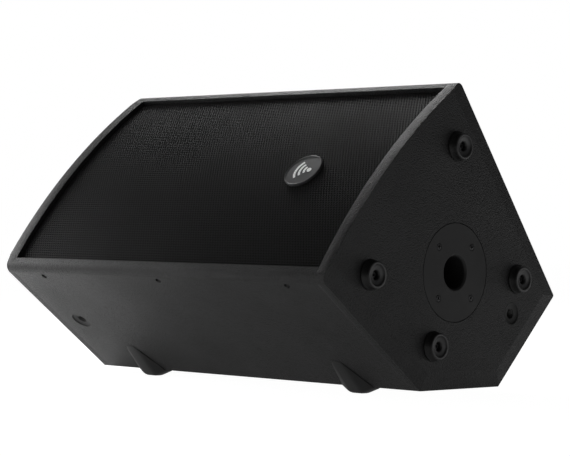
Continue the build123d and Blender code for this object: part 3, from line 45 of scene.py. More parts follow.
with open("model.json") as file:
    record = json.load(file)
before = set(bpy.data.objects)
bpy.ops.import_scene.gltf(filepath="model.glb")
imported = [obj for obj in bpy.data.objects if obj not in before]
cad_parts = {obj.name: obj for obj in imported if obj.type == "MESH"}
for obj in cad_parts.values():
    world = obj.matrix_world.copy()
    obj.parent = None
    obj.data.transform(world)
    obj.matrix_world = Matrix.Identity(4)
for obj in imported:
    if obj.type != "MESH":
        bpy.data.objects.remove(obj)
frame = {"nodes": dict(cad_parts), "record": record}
NODES = frame["nodes"]
BODY_OF = {node: body for body, names in frame["record"]["behaviour"]["bodies"].items() for node in names}
MM = 0.001
LEAN = radians(45)
ALONG = Vector((1, 0, 0))
CLIMB = Vector((0, cos(LEAN), sin(LEAN)))
OUTWARD = Vector((0, -sin(LEAN), cos(LEAN)))
POLE_BEHIND_FRONT = 143.5 * MM
FRONT_HALF_WIDTH = 154 * MM
FRONT_BULGE = 16 * MM
GRILLE_RECESS = 5 * MM
GRILLE_FLANGE_BACK = -19 * MM
SHEET_INSET = 16 * MM
SIDE_LEAN = radians(8)
LOW_WALL = (CLIMB * -cos(SIDE_LEAN) - OUTWARD * sin(SIDE_LEAN)).normalized()
TOP_WALL = (CLIMB * cos(SIDE_LEAN) - OUTWARD * sin(SIDE_LEAN)).normalized()
WHITE = (1.0, 1.0, 1.0, 1.0)
END_INSERT_BEYOND = 220 * MM
DISH_DEPTH = 3.0

# outlines that are turned about their axis, as radius and height in millimetres
FOOT_PROFILE = [
    (4.3, 0), (16.2, 0), (16.5, 0.3), (16.5, 1.3), (16.1, 1.9), (15.7, 2.4), (14.7, 8.3), (14.4, 9.2),
    (13.9, 9.8), (13.2, 10.0), (12.1, 10.0), (11.6, 9.85), (11.2, 9.4), (10.6, 8.7), (9.8, 8.3),
    (6.6, 7.8), (5.9, 7.6), (5.0, 6.9), (4.3, 5.4),
]
SLEEVE_PROFILE = [(5.2, -0.5), (5.7, 0), (7.6, 0), (8.0, -0.4), (8.0, -19.0), (5.0, -19.0)]
THREAD_PROFILE = [(5.0 + (0.55 if k % 2 else 0.0), -0.75 * k - 0.4) for k in range(24)]
DISH_PROFILE = [
    (5.4, -2.7), (5.8, -2.3), (6.6, -2.1), (10.8, -1.4), (11.3, -1.1), (11.8, -0.2), (12.1, 0.0),
    (12.7, 0.0), (13.0, -0.3), (13.0, -3.0), (5.4, -3.0),
]
BADGE_RIM_PROFILE = [
    (21.9, 1.4), (21.9, 2.5), (22.1, 2.8), (22.6, 2.9), (23.1, 2.75), (23.45, 2.3), (23.45, 1.4),
]


def middle_of_front():
    """The middle of the chord across the curved front, found from the end panels and the pole socket."""
    near_low, near_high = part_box("near_end_panel")
    far_low, far_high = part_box("far_end_panel")
    pole_low, pole_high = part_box("pole_socket")
    pole = (pole_low + pole_high) / 2
    middle = pole + OUTWARD * POLE_BEHIND_FRONT
    middle.x = (near_high.x + far_low.x) / 2
    return middle


MIDDLE = middle_of_front()
ARC_R = (FRONT_HALF_WIDTH**2 + FRONT_BULGE**2) / (2 * FRONT_BULGE)
SHEET_R = ARC_R - GRILLE_RECESS
ARC_MIDDLE_N = FRONT_BULGE - ARC_R


def spot(x, s, n):
    """The point x along the cabinet, s up the front and n out of it."""
    return MIDDLE + ALONG * x + CLIMB * s + OUTWARD * n


def wall_out(point):
    """The way out of whichever long wall is nearer the point."""
    return LOW_WALL if (point - MIDDLE).dot(CLIMB) < 0 else TOP_WALL


# ------------------------------------------------------------------ settings


def colour(name, about, value):
    return FloatVectorProperty(
        name=name, description=about, default=value, subtype="COLOR", size=3, min=0.0, max=1.0
    )


def length(name, about, value):
    return FloatProperty(name=name, description=about, default=value, unit="LENGTH", precision=5, min=0.0)


def amount(name, about, value):
    return FloatProperty(name=name, description=about, default=value, min=0.0)


def point(name, about, value):
    return FloatVectorProperty(name=name, description=about, default=value, subtype="XYZ")


class WedgePaint(bpy.types.PropertyGroup):
    body: colour("Paint", "Colour of the pebbled cabinet paint", (0.0036, 0.0036, 0.0038))
    lighter: colour("Worn Paint", "Colour of the paint where it is rubbed", (0.024, 0.024, 0.0245))
    pebble: length("Pebble", "Width of one pebble of the paint", 0.0016)
    edge: length("Soft Edge", "How far each outer edge is rounded", 0.0014)


class WedgeGrille(bpy.types.PropertyGroup):
    steel: colour("Grille Paint", "Colour of the powder coat on the grille", (0.0075, 0.0075, 0.0078))
    pitch: length("Pitch", "Distance from one hole to the next", 0.00388)
    hole: length("Hole", "Diameter of a hole", 0.003)
    sheet: length("Sheet", "Thickness of the steel sheet", 0.0012)
    margin: length("Margin", "Plain border round the holes", 0.003)
    strips: IntProperty(name="Strips", description="How many pieces the field is made in", default=5, min=1)


class WedgeBadge(bpy.types.PropertyGroup):
    plate: colour("Plate", "Colour of the badge plate", (0.05, 0.05, 0.052))
    sign: colour("Sign", "Colour of the raised sign", (0.8, 0.8, 0.8))


class WedgeFeet(bpy.types.PropertyGroup):
    rubber: colour("Rubber", "Colour of the feet and fins", (0.004, 0.004, 0.004))
    lighter: colour("Worn Rubber", "Colour of the feet where they meet the ground", (0.03, 0.03, 0.031))
    edge: length("Soft Edge", "Rounding of the rubber edges", 0.003)


class WedgeStage(bpy.types.PropertyGroup):
    eye: point("Camera", "Where the camera stands", (1.69575, -1.75888, 0.16989))
    target: point("Target", "What the camera points at", (-0.096944, 0.110349, 0.181825))
    roll: FloatProperty(name="Roll", description="Turn of the camera", default=0.0185, subtype="ANGLE")
    lens: FloatProperty(name="Lens", description="Focal length", default=131.8, unit="CAMERA")
    floor: colour("Floor", "Colour of the studio floor", (0.88, 0.88, 0.88))
    overhead: amount("Overhead", "Power of the soft light overhead", 5.0)
    side: amount("Side", "Power of the soft light at the left", 13.0)
    room: amount("Room", "Light that comes from the whole room", 0.055)
    wall: amount("Wall", "Power of the bright wall behind", 16.0)
    low: amount("Low", "Power of the low light beyond the near end", 1.0)
    front: amount("Front", "Power of the light the grille mirrors", 2.6)
    glow: amount("Glow", "Light the floor throws back evenly", 0.22)
    bright: amount("Bright", "Light of the floor as the camera sees it", 1.24)
    shadow: amount("Shadow", "How much of its shadow the floor shows", 0.25)


SETTINGS = {
    "wedge_paint": WedgePaint,
    "wedge_grille": WedgeGrille,
    "wedge_badge": WedgeBadge,
    "wedge_feet": WedgeFeet,
    "wedge_stage": WedgeStage,
}


# ------------------------------------------------------------------ node helpers


def node(tree, kind, inputs=None, **settings):
    """A node with its settings and inputs, where an input is a value or another node's output."""
    made = tree.nodes.new(kind)
    for key, value in settings.items():
        setattr(made, key, value)
    for key, value in (inputs or {}).items():
        if isinstance(value, bpy.types.NodeSocket):
            tree.links.new(value, made.inputs[key])
        else:
            made.inputs[key].default_value = value
    return made


def first(tree, kind, inputs=None, **settings):
    """The first output of a new node."""
    return node(tree, kind, inputs, **settings).outputs[0]


def maths(tree, operation, *values):
    return first(tree, "ShaderNodeMath", dict(enumerate(values)), operation=operation)


def times(tree, one, other):
    return maths(tree, "MULTIPLY", one, other)


def ramp(tree, value, low, high):
    """The value as a share of the way from low to high, held between 0 and 1."""
    return node(
        tree, "ShaderNodeMapRange", {"Value": value, "From Min": low, "From Max": high}
    ).outputs["Result"]


def blend(tree, share, one, other):
    """One colour with a share of the other."""
    return node(tree, "ShaderNodeMix", {0: share, 6: one, 7: other}, data_type="RGBA").outputs[2]


def new_group(name, kind, inputs, outputs):
    """A node group with named sockets, what it is given and where its results go."""
    group = bpy.data.node_groups.new(name, kind)
    for label, (socket, value) in inputs.items():
        made = group.interface.new_socket(label, in_out="INPUT", socket_type=socket)
        if value is not None:
            made.default_value = value
    for label, socket in outputs.items():
        group.interface.new_socket(label, in_out="OUTPUT", socket_type=socket)
    given, result = group.nodes.new("NodeGroupInput"), group.nodes.new("NodeGroupOutput")
    return group, given.outputs, result.inputs


FLOAT, VECTOR, WHOLE = "NodeSocketFloat", "NodeSocketVector", "NodeSocketInt"
GEOMETRY, OBJECT, MATERIAL = "NodeSocketGeometry", "NodeSocketObject", "NodeSocketMaterial"


@cache
def shared(build):
    """The node group that a builder makes, made the first time that it is asked for."""
    return build()


# ------------------------------------------------------------------ grains

GRAIN_INPUTS = {"Place": (VECTOR, None), "Size": (FLOAT, 0.001), "Blotch": (FLOAT, 0.05)}
GRAIN_OUTPUTS = {"Height": FLOAT, "Shade": FLOAT}


def grain_start(name):
    """A grain group, with the scale of its fine detail and the mask of its broad blotches."""
    group, given, result = new_group(name, "ShaderNodeTree", GRAIN_INPUTS, GRAIN_OUTPUTS)
    scale = maths(group, "DIVIDE", 1.0, given["Size"])
    broad = noise(group, given["Place"], maths(group, "DIVIDE", 1.0, given["Blotch"]), 3.0, 0.55)
    return group, given["Place"], scale, broad, result


def grain_end(group, result, height, shade, broad, share):
    """Sends out the height, and a shade mixed from the fine detail and the broad blotches."""
    mixed = maths(group, "ADD", times(group, shade, 1.0 - share), times(group, broad, share))
    group.links.new(height, result["Height"])
    group.links.new(mixed, result["Shade"])
    return group


def noise(group, place, scale, detail=2.0, rough=0.5):
    return first(
        group, "ShaderNodeTexNoise", {"Vector": place, "Scale": scale, "Detail": detail, "Roughness": rough}
    )


def waves(group, place, scale, direction, settings):
    inputs = {"Vector": place, "Scale": scale, **settings}
    return node(group, "ShaderNodeTexWave", inputs, bands_direction=direction).outputs["Fac"]


def drawn_out(group, place, share):
    """The place with its distance along the cabinet made smaller, so that the grain runs long."""
    return first(group, "ShaderNodeVectorMath", {0: place, 1: (share, 1.0, 1.0)}, operation="MULTIPLY")


def pebbled():
    """Sprayed paint that dries as small rounded pebbles of uneven size."""
    group, place, scale, broad, result = grain_start("pebbled paint")
    pebbles = node(
        group, "ShaderNodeTexVoronoi",
        {"Vector": place, "Scale": scale, "Smoothness": 0.35, "Randomness": 1.0}, feature="SMOOTH_F1",
    ).outputs["Distance"]
    domes = maths(group, "SUBTRACT", 1.0, maths(group, "POWER", pebbles, 1.6))
    fine = noise(group, place, times(group, scale, 2.7), 2.0, 0.6)
    height = maths(group, "ADD", domes, times(group, fine, 0.5))
    shade = times(group, domes, fine)
    return grain_end(group, result, height, shade, broad, 0.35)


def moulded():
    """Spark-eroded plastic or powder coat: very fine even bumps."""
    group, place, scale, broad, result = grain_start("moulded skin")
    fine = noise(group, place, scale, 3.0, 0.65)
    return grain_end(group, result, fine, fine, broad, 0.5)


def brushed():
    """Metal rubbed along the cabinet, with long faint scratches."""
    group, place, scale, broad, result = grain_start("brushed metal")
    lines = noise(group, drawn_out(group, place, 0.04), scale, 4.0, 0.7)
    return grain_end(group, result, lines, lines, broad, 0.35)


def woven():
    """Over-and-under threads, from crossed waves."""
    group, place, scale, broad, result = grain_start("woven threads")
    settings = {"Distortion": 0.6, "Detail": 1.0}
    x, y, z = (waves(group, place, scale, direction, settings) for direction in "XYZ")
    crossed = maths(group, "MAXIMUM", times(group, x, y), z)
    return grain_end(group, result, crossed, crossed, broad, 0.3)


def fibrous():
    """Pressed pulp, felt or foam: tangled short fibres with open pores."""
    group, place, scale, broad, result = grain_start("fibres and pores")
    pores = node(
        group, "ShaderNodeTexVoronoi", {"Vector": place, "Scale": scale}, feature="F1"
    ).outputs["Distance"]
    hair = noise(group, place, times(group, scale, 1.7), 5.0, 0.75)
    height = times(group, pores, hair)
    return grain_end(group, result, height, hair, broad, 0.3)


def layered():
    """Birch plywood: long wood grain over thin glued layers."""
    group, place, scale, broad, result = grain_start("plywood layers")
    settings = {"Distortion": 5.0, "Detail": 3.0, "Detail Scale": 1.5}
    lines = waves(group, drawn_out(group, place, 0.08), scale, "DIAGONAL", settings)
    return grain_end(group, result, lines, lines, broad, 0.4)


# ------------------------------------------------------------------ finishes

# slants towards the end of the cabinet, between which a face counts as rubbed or as a rounded arris, which
# gets a painted highlight
RUBBED_SLANTS = (0.55, 0.98)
ARRIS_START = (0.12, 0.3)
ARRIS_END = (0.97, 0.85)
ARRIS_HIGHLIGHT_SHARE = 0.5
# painted highlight: the pale tone that the rounded arrises are mixed towards, and how much glossier they get
ARRIS_HIGHLIGHT_TONE = (0.26, 0.26, 0.26, 1.0)
ARRIS_GLOSS = 0.2


def finish(slot, kind, low, high, rough, size, depth, bump, blotch, shade=(0.25, 0.75),
           metal=0.0, sheen=0.0, coat=0.0, rubbed=None, arris=0.0, glow=0.0):
    """A material for one slot: its colour and roughness run between two values by the grain.

    size is the width of one grain, depth and bump its relief, and blotch the width of the broad
    rubbed is the colour of the faces that look along the cabinet, and the place beyond which
    they are worn. arris is how much smoother and paler the rounded edges of the two ends are; the paler
    tone is a painted highlight.
    """
    made = bpy.data.materials.new("finish " + slot.replace("_", " "))
    made.use_nodes = True
    tree = made.node_tree
    shader = tree.nodes["Principled BSDF"]
    surface = tree.nodes.new("ShaderNodeTexCoord")
    grains = node(tree, "ShaderNodeGroup", {}, node_tree=shared(kind))
    tree.links.new(surface.outputs["Object"], grains.inputs["Place"])
    grains.inputs["Size"].default_value = size
    grains.inputs["Blotch"].default_value = blotch
    spread = ramp(tree, grains.outputs["Shade"], *shade)
    shown, gloss = blend(tree, spread, (*low, 1.0), (*high, 1.0)), None
    if rubbed or arris:
        slant = first(tree, "ShaderNodeSeparateXYZ", {0: surface.outputs["Normal"]})
    if rubbed:
        tone, beyond = rubbed
        along = first(tree, "ShaderNodeSeparateXYZ", {0: surface.outputs["Object"]})
        flat = times(tree, ramp(tree, slant, *RUBBED_SLANTS), maths(tree, "GREATER_THAN", along, beyond))
        scuffed = times(tree, flat, maths(tree, "ADD", times(tree, spread, 0.6), 0.5))
        shown = blend(tree, scuffed, shown, (*tone, 1.0))
    # painted highlight: the rounded arrises of the ends are mixed towards a pale tone, and made smoother
    if arris:
        steep = maths(tree, "ABSOLUTE", slant)
        edge = times(tree, ramp(tree, steep, *ARRIS_START), ramp(tree, steep, *ARRIS_END))
        lighter = times(tree, edge, arris)
        shown = blend(tree, times(tree, lighter, ARRIS_HIGHLIGHT_SHARE), shown, ARRIS_HIGHLIGHT_TONE)
        gloss = times(tree, lighter, ARRIS_GLOSS)
    tree.links.new(shown, shader.inputs["Base Color"])
    # glow makes the surface send out light of its own colour: painted light, on a part that is no lamp
    if glow:
        tree.links.new(shown, shader.inputs["Emission Color"])
        shader.inputs["Emission Strength"].default_value = glow
    dull = node(
        tree, "ShaderNodeMapRange", {"Value": spread, "To Min": rough[0], "To Max": rough[1]}
    ).outputs["Result"]
    if gloss is not None:
        dull = maths(tree, "SUBTRACT", dull, gloss)
    tree.links.new(dull, shader.inputs["Roughness"])
    relief = node(
        tree, "ShaderNodeBump", {"Height": grains.outputs["Height"], "Strength": bump, "Distance": depth}
    )
    tree.links.new(relief.outputs["Normal"], shader.inputs["Normal"])
    shader.inputs["Metallic"].default_value = metal
    shader.inputs["Sheen Weight"].default_value = sheen
    shader.inputs["Coat Weight"].default_value = coat
    FINISHES[slot] = made
    return made


FINISHES = {}


def grey(tone):
    return (tone, tone, tone)


PLAIN_FINISHES = (
    ("socket_plastic", moulded, (0.005, 0.005, 0.0051), (0.0105, 0.0105, 0.0107), (0.54, 0.68), 0.0007,
     0.0001, 0.6, 0.03),
    ("black_screws", brushed, (0.02, 0.02, 0.021), (0.055, 0.055, 0.056), (0.3, 0.48), 0.0005, 0.00003,
     0.3, 0.01, {"metal": 0.6}),
    ("insert_steel", brushed, grey(0.05), (0.11, 0.11, 0.108), (0.34, 0.5), 0.0005, 0.00003, 0.3, 0.01,
     {"metal": 1.0}),
    ("foam", fibrous, grey(0.0035), grey(0.01), (0.95, 1.0), 0.0016, 0.0006, 0.8, 0.03),
    ("plywood", layered, (0.36, 0.235, 0.13), (0.56, 0.4, 0.24), (0.55, 0.72), 0.006, 0.0001, 0.3, 0.08),
    ("lining", fibrous, (0.3, 0.29, 0.27), (0.46, 0.45, 0.42), (0.9, 1.0), 0.002, 0.0008, 0.8, 0.04,
     {"sheen": 0.3}),
    ("handle_plastic", moulded, grey(0.013), grey(0.022), (0.46, 0.6), 0.0009, 0.00009, 0.5, 0.03),
    ("grip_rubber", moulded, grey(0.012), grey(0.02), (0.62, 0.78), 0.001, 0.00012, 0.5, 0.02),
    ("cast_frame", moulded, grey(0.018), grey(0.035), (0.4, 0.6), 0.0016, 0.00015, 0.6, 0.04,
     {"metal": 0.4}),
    ("ferrite", moulded, (0.03, 0.03, 0.031), (0.055, 0.055, 0.056), (0.4, 0.58), 0.002, 0.0002, 0.5,
     0.03),
    ("driver_steel", brushed, (0.38, 0.37, 0.34), (0.56, 0.55, 0.51), (0.28, 0.42), 0.0006, 0.00004, 0.3,
     0.03, {"metal": 1.0}),
    ("cone_paper", fibrous, grey(0.012), (0.028, 0.027, 0.026), (0.75, 0.92), 0.0018, 0.0003, 0.6, 0.03),
    ("spider_cloth", woven, (0.3, 0.2, 0.07), (0.48, 0.34, 0.14), (0.75, 0.92), 0.0012, 0.0002, 0.6, 0.02,
     {"sheen": 0.3}),
    ("coil_copper", brushed, (0.62, 0.25, 0.12), (0.82, 0.42, 0.24), (0.25, 0.4), 0.0005, 0.00006, 0.5,
     0.01, {"metal": 1.0}),
    ("horn_plastic", moulded, grey(0.012), grey(0.02), (0.38, 0.5), 0.0012, 0.00006, 0.35, 0.05),
    ("diaphragm_film", brushed, grey(0.5), grey(0.68), (0.2, 0.32), 0.0008, 0.00003, 0.3, 0.02,
     {"metal": 1.0}),
    ("amp_metal", moulded, (0.016, 0.016, 0.017), (0.028, 0.028, 0.029), (0.4, 0.55), 0.0008, 0.00006, 0.4,
     0.05),
    ("heat_sink_metal", brushed, (0.016, 0.016, 0.017), (0.034, 0.034, 0.035), (0.34, 0.5), 0.0006,
     0.00005, 0.4, 0.04, {"metal": 0.5}),
    ("circuit_board", woven, (0.01, 0.075, 0.028), (0.02, 0.12, 0.05), (0.32, 0.48), 0.0015, 0.00004, 0.3,
     0.02),
    ("transformer_wrap", woven, (0.42, 0.3, 0.05), (0.6, 0.46, 0.12), (0.3, 0.5), 0.004, 0.0002, 0.4,
     0.02),
    ("capacitor_sleeve", moulded, (0.012, 0.02, 0.06), (0.02, 0.035, 0.09), (0.22, 0.34), 0.001, 0.00003,
     0.2, 0.02),
    ("control_plastic", moulded, grey(0.014), grey(0.024), (0.34, 0.48), 0.0006, 0.00005, 0.35, 0.01),
    ("pot_metal", brushed, (0.34, 0.34, 0.33), (0.5, 0.5, 0.48), (0.3, 0.46), 0.0005, 0.00003, 0.3, 0.01,
     {"metal": 1.0}),
    ("light_lens", moulded, (0.02, 0.28, 0.05), (0.04, 0.42, 0.09), (0.12, 0.22), 0.0008, 0.00002, 0.15,
     0.004, {"coat": 0.6}),
)

# ------------------------------------------------------------------ mesh helpers


def placed(name, data):
    """A new object in the scene."""
    made = bpy.data.objects.new(name, data)
    bpy.context.scene.collection.objects.link(made)
    return made


def as_mesh(bm, name):
    """The plain mesh of bmesh data, which is then let go."""
    mesh = bpy.data.meshes.new(name)
    bm.to_mesh(mesh)
    bm.free()
    return mesh


def new_piece(name, mesh, slot, body, *replaced):
    """Puts a mesh in the scene as a piece that rides on a body and stands for CAD nodes."""
    piece = placed(name, mesh)
    if not mesh.materials:
        mesh.materials.append(FINISHES[slot])
    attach(piece, body)
    if replaced:
        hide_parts(*replaced)
    return piece


def finished_mesh(bm, name, smooth_below=22.0):
    """A mesh from bmesh data, smooth only across edges flatter than the given angle.

    The outline of a flat face of many corners is always sharp, so that the face is shaded flat.
    """
    for face in bm.faces:
        face.smooth = True
    for edge in bm.edges:
        turn = degrees(edge.calc_face_angle(pi))
        broad = any(len(face.verts) > 4 for face in edge.link_faces)
        edge.smooth = turn < (0.5 if broad else smooth_below)
    return as_mesh(bm, name)


def cad_copy(name):
    """A CAD node's mesh with its corners merged and its flat faces whole."""
    bm = bmesh.new()
    bm.from_mesh(NODES[name].data)
    bmesh.ops.remove_doubles(bm, verts=bm.verts, dist=1e-6)
    bmesh.ops.dissolve_limit(
        bm, angle_limit=radians(0.4), verts=bm.verts, edges=bm.edges, use_dissolve_boundaries=False
    )
    return bm


def soften(bm, width, segments=2, longest_kept=0.006, corner=25.0):
    """Rounds the sharp edges that are longer than the given length."""
    chosen = [
        e for e in bm.edges
        if e.is_manifold and e.calc_face_angle(0) > radians(corner) and e.calc_length() > longest_kept
    ]
    bmesh.ops.bevel(
        bm, geom=chosen, offset=width, offset_type="OFFSET", segments=segments, profile=0.5,
        affect="EDGES", clamp_overlap=True, loop_slide=True,
    )
    return bm


def softened(name, slot, width, segments=2, longest_kept=0.006, corner=25.0):
    """A piece that stands for a CAD node, the same but for its rounded edges."""
    bm = soften(cad_copy(name), width, segments, longest_kept, corner)
    return new_piece(name + "_finished", finished_mesh(bm, name + "_finished"), slot, BODY_OF[name], name)


def turned(profile, steps=48):
    """A closed solid of revolution about Z from (radius, height) points, axis points first and last."""
    bm = bmesh.new()
    rings = []
    for r, z in profile:
        turns = [2 * pi * k / steps for k in range(steps)] if r > 1e-9 else [0.0]
        rings.append([bm.verts.new((r * cos(turn), r * sin(turn), z)) for turn in turns])
    closed = len(rings[0]) > 1
    pairs = list(zip(rings, rings[1:])) + ([(rings[-1], rings[0])] if closed else [])
    for a, b in pairs:
        for k in range(steps):
            j = (k + 1) % steps
            corners = [a[k % len(a)], a[j % len(a)], b[j % len(b)], b[k % len(b)]]
            corners = [c for i, c in enumerate(corners) if c not in corners[:i]]
            if len(corners) > 2:
                bm.faces.new(corners)
    bmesh.ops.recalc_face_normals(bm, faces=bm.faces)
    return bm


def lathed(name, profile, steps, smooth_below, lift=0.0):
    """The mesh of a profile in millimetres turned about Z, raised by the lift."""
    bm = turned([(r * MM, z * MM + lift * MM) for r, z in profile], steps)
    return finished_mesh(bm, name, smooth_below)


def frame_at(origin, out, sideways=ALONG):
    """The matrix of a place whose Z points out."""
    z = out.normalized()
    if abs(sideways.normalized().dot(z)) > 0.9:
        sideways = CLIMB
    x = (sideways - z * sideways.dot(z)).normalized()
    matrix = Matrix((x, z.cross(x), z)).transposed().to_4x4()
    matrix.translation = origin
    return matrix


def loose_parts(name):
    """The vertices of each separate solid of a CAD node."""
    bm = cad_copy(name)
    left, parts = set(bm.verts), []
    while left:
        reached, edge = set(), [left.pop()]
        while edge:
            here = edge.pop()
            reached.add(here)
            for e in here.link_edges:
                other = e.other_vert(here)
                if other in left:
                    left.discard(other)
                    edge.append(other)
        parts.append([v.co.copy() for v in reached])
    bm.free()
    return parts


def corners_of(points):
    """The low and high corners of the box round some points."""
    return [Vector([pick(p[i] for p in points) for i in range(3)]) for pick in (min, max)]


def screw_places(name, out):
    """Where each screw's head lies: the middle of its top, with out as its way out."""
    places = []
    for points in loose_parts(name):
        highest = max(p.dot(out) for p in points)
        top = [p for p in points if highest - p.dot(out) < 0.05 * MM]
        low, high = corners_of(top)
        places.append((low + high) / 2)
    return places


# ------------------------------------------------------------------ geometry node trees


def repeat_tree():
    """Sets one piece at every point of a mesh, turned to the point's own way out."""
    tree, given, result = new_group(
        "pieces at places", "GeometryNodeTree",
        {"Places": (GEOMETRY, None), "Piece": (OBJECT, None), "Most Turn": (FLOAT, 0.0), "Seed": (WHOLE, 1),
         "Finish": (MATERIAL, None)},
        {"Pieces": GEOMETRY},
    )
    out, side = (
        first(tree, "GeometryNodeInputNamedAttribute", {"Name": label}, data_type="FLOAT_VECTOR")
        for label in ("out", "side")
    )
    facing = first(tree, "FunctionNodeAxesToRotation", {"Primary Axis": out, "Secondary Axis": side},
                  primary_axis="Z", secondary_axis="X")
    spin = node(
        tree, "FunctionNodeRandomValue", {2: 0.0, 3: given["Most Turn"], "Seed": given["Seed"]}
    ).outputs[1]
    own = first(tree, "FunctionNodeAxisAngleToRotation", {"Axis": (0.0, 0.0, 1.0), "Angle": spin})
    turned_to = first(
        tree, "FunctionNodeRotateRotation", {"Rotation": facing, "Rotate By": own}, rotation_space="LOCAL"
    )
    piece = node(tree, "GeometryNodeObjectInfo", {"Object": given["Piece"]}).outputs["Geometry"]
    copies = first(
        tree, "GeometryNodeInstanceOnPoints",
        {"Points": given["Places"], "Instance": piece, "Rotation": turned_to},
    )
    real = first(tree, "GeometryNodeRealizeInstances", {"Geometry": copies})
    done = node(tree, "GeometryNodeSetMaterial", {"Geometry": real, "Material": given["Finish"]})
    tree.links.new(done.outputs[0], result["Pieces"])
    return tree


def perforation_tree():
    """Tiles one holed cell into staggered rows, gives the sheet its thickness and bends it to the front."""
    tree, given, result = new_group(
        "perforated sheet", "GeometryNodeTree",
        {"Cell": (GEOMETRY, None), "Pitch": (FLOAT, 0.00388), "Columns": (WHOLE, 10), "Rows": (WHOLE, 10),
         "First Row": (WHOLE, 0), "All Rows": (WHOLE, 10), "Thickness": (FLOAT, 0.0012),
         "Bend Radius": (FLOAT, 0.7), "Bend Middle": (FLOAT, -0.7), "Lean": (FLOAT, LEAN),
         "Middle": (VECTOR, None), "Finish": (MATERIAL, None)},
        {"Sheet": GEOMETRY},
    )

    def half_of(count):
        return maths(tree, "DIVIDE", maths(tree, "SUBTRACT", count, 1.0), 2.0)

    pitch, rows = given["Pitch"], given["Rows"]
    row_step = times(tree, pitch, sqrt(3) / 2)
    grid = node(tree, "GeometryNodeMeshGrid", {
        "Vertices X": given["Columns"],
        "Vertices Y": rows,
        "Size X": times(tree, maths(tree, "SUBTRACT", given["Columns"], 1.0), pitch),
        "Size Y": times(tree, maths(tree, "SUBTRACT", rows, 1.0), row_step),
    }).outputs["Mesh"]
    at_point = node(tree, "ShaderNodeSeparateXYZ", {0: first(tree, "GeometryNodeInputPosition")})
    own_row = maths(tree, "ADD", maths(tree, "DIVIDE", at_point.outputs[1], row_step), half_of(rows))
    row = maths(tree, "ROUND", maths(tree, "ADD", own_row, given["First Row"]))
    odd = maths(tree, "FLOORED_MODULO", row, 2.0)
    shift = times(tree, maths(tree, "SUBTRACT", odd, 0.5), maths(tree, "DIVIDE", pitch, 2.0))
    rise = times(tree, row_step, maths(tree, "SUBTRACT", row, half_of(given["All Rows"])))
    place = first(
        tree, "ShaderNodeCombineXYZ", {0: maths(tree, "ADD", at_point.outputs[0], shift), 1: rise}
    )
    staggered = first(tree, "GeometryNodeSetPosition", {"Geometry": grid, "Position": place})
    cells = first(tree, "GeometryNodeInstanceOnPoints", {"Points": staggered, "Instance": given["Cell"]})
    near = times(tree, pitch, 0.01)
    flat = first(
        tree, "GeometryNodeMergeByDistance",
        {"Geometry": first(tree, "GeometryNodeRealizeInstances", {"Geometry": cells}), "Distance": near},
    )
    down = first(tree, "ShaderNodeCombineXYZ", {2: times(tree, given["Thickness"], -1.0)})
    back = first(tree, "GeometryNodeSetPosition", {"Geometry": flat, "Offset": down})
    raised = node(
        tree, "GeometryNodeExtrudeMesh",
        {"Mesh": back, "Offset Scale": given["Thickness"], "Individual": False}, mode="FACES",
    ).outputs["Mesh"]
    turned_back = first(tree, "GeometryNodeFlipFaces", {"Mesh": back})
    both = tree.nodes.new("GeometryNodeJoinGeometry")
    tree.links.new(raised, both.inputs[0])
    tree.links.new(turned_back, both.inputs[0])
    closed = first(tree, "GeometryNodeMergeByDistance", {"Geometry": both.outputs[0], "Distance": near})
    here = node(tree, "ShaderNodeSeparateXYZ", {0: first(tree, "GeometryNodeInputPosition")})
    radius = maths(tree, "ADD", given["Bend Radius"], here.outputs[2])
    angle = maths(tree, "DIVIDE", here.outputs[1], given["Bend Radius"])
    bent = first(tree, "ShaderNodeCombineXYZ", {
        0: here.outputs[0],
        1: times(tree, radius, maths(tree, "SINE", angle)),
        2: maths(tree, "ADD", given["Bend Middle"], times(tree, radius, maths(tree, "COSINE", angle))),
    })
    leaning = first(
        tree, "ShaderNodeVectorRotate", {"Vector": bent, "Angle": given["Lean"]}, rotation_type="X_AXIS"
    )
    final = first(tree, "ShaderNodeVectorMath", {0: leaning, 1: given["Middle"]}, operation="ADD")
    curved = first(tree, "GeometryNodeSetPosition", {"Geometry": closed, "Position": final})
    done = node(tree, "GeometryNodeSetMaterial", {"Geometry": curved, "Material": given["Finish"]})
    tree.links.new(done.outputs[0], result["Sheet"])
    return tree


def grown(mesh, build, values, name):
    """The plain mesh that a tree makes from a mesh and its named inputs."""
    tree = shared(build)
    start = placed(name, mesh)
    modifier = start.modifiers.new("tree", "NODES")
    modifier.node_group = tree
    for item in tree.interface.items_tree:
        if item.in_out == "INPUT" and item.name in values:
            modifier[item.identifier] = values[item.name]
    evaluated = start.evaluated_get(bpy.context.evaluated_depsgraph_get())
    made = bpy.data.meshes.new_from_object(evaluated)
    start.modifiers.clear()
    bpy.data.objects.remove(start)
    made.name = name
    return made


def repeated(name, piece_mesh, places, slot, body, replaced=(), most_turn=0.0, seed=1):
    """One piece made of copies of a small mesh, at (point, way out, way sideways) places."""
    points = bpy.data.meshes.new(name + "_places")
    points.from_pydata([tuple(p) for p, _, _ in places], [], [])
    for label, column in (("out", 1), ("side", 2)):
        held = points.attributes.new(label, "FLOAT_VECTOR", "POINT")
        held.data.foreach_set("vector", [c for place in places for c in place[column]])
    small = placed(name + "_one", piece_mesh)
    values = {"Piece": small, "Most Turn": most_turn, "Seed": seed, "Finish": FINISHES[slot]}
    mesh = grown(points, repeat_tree, values, name)
    bpy.data.objects.remove(small)
    return new_piece(name, mesh, slot, body, *replaced)


# ------------------------------------------------------------------ operators


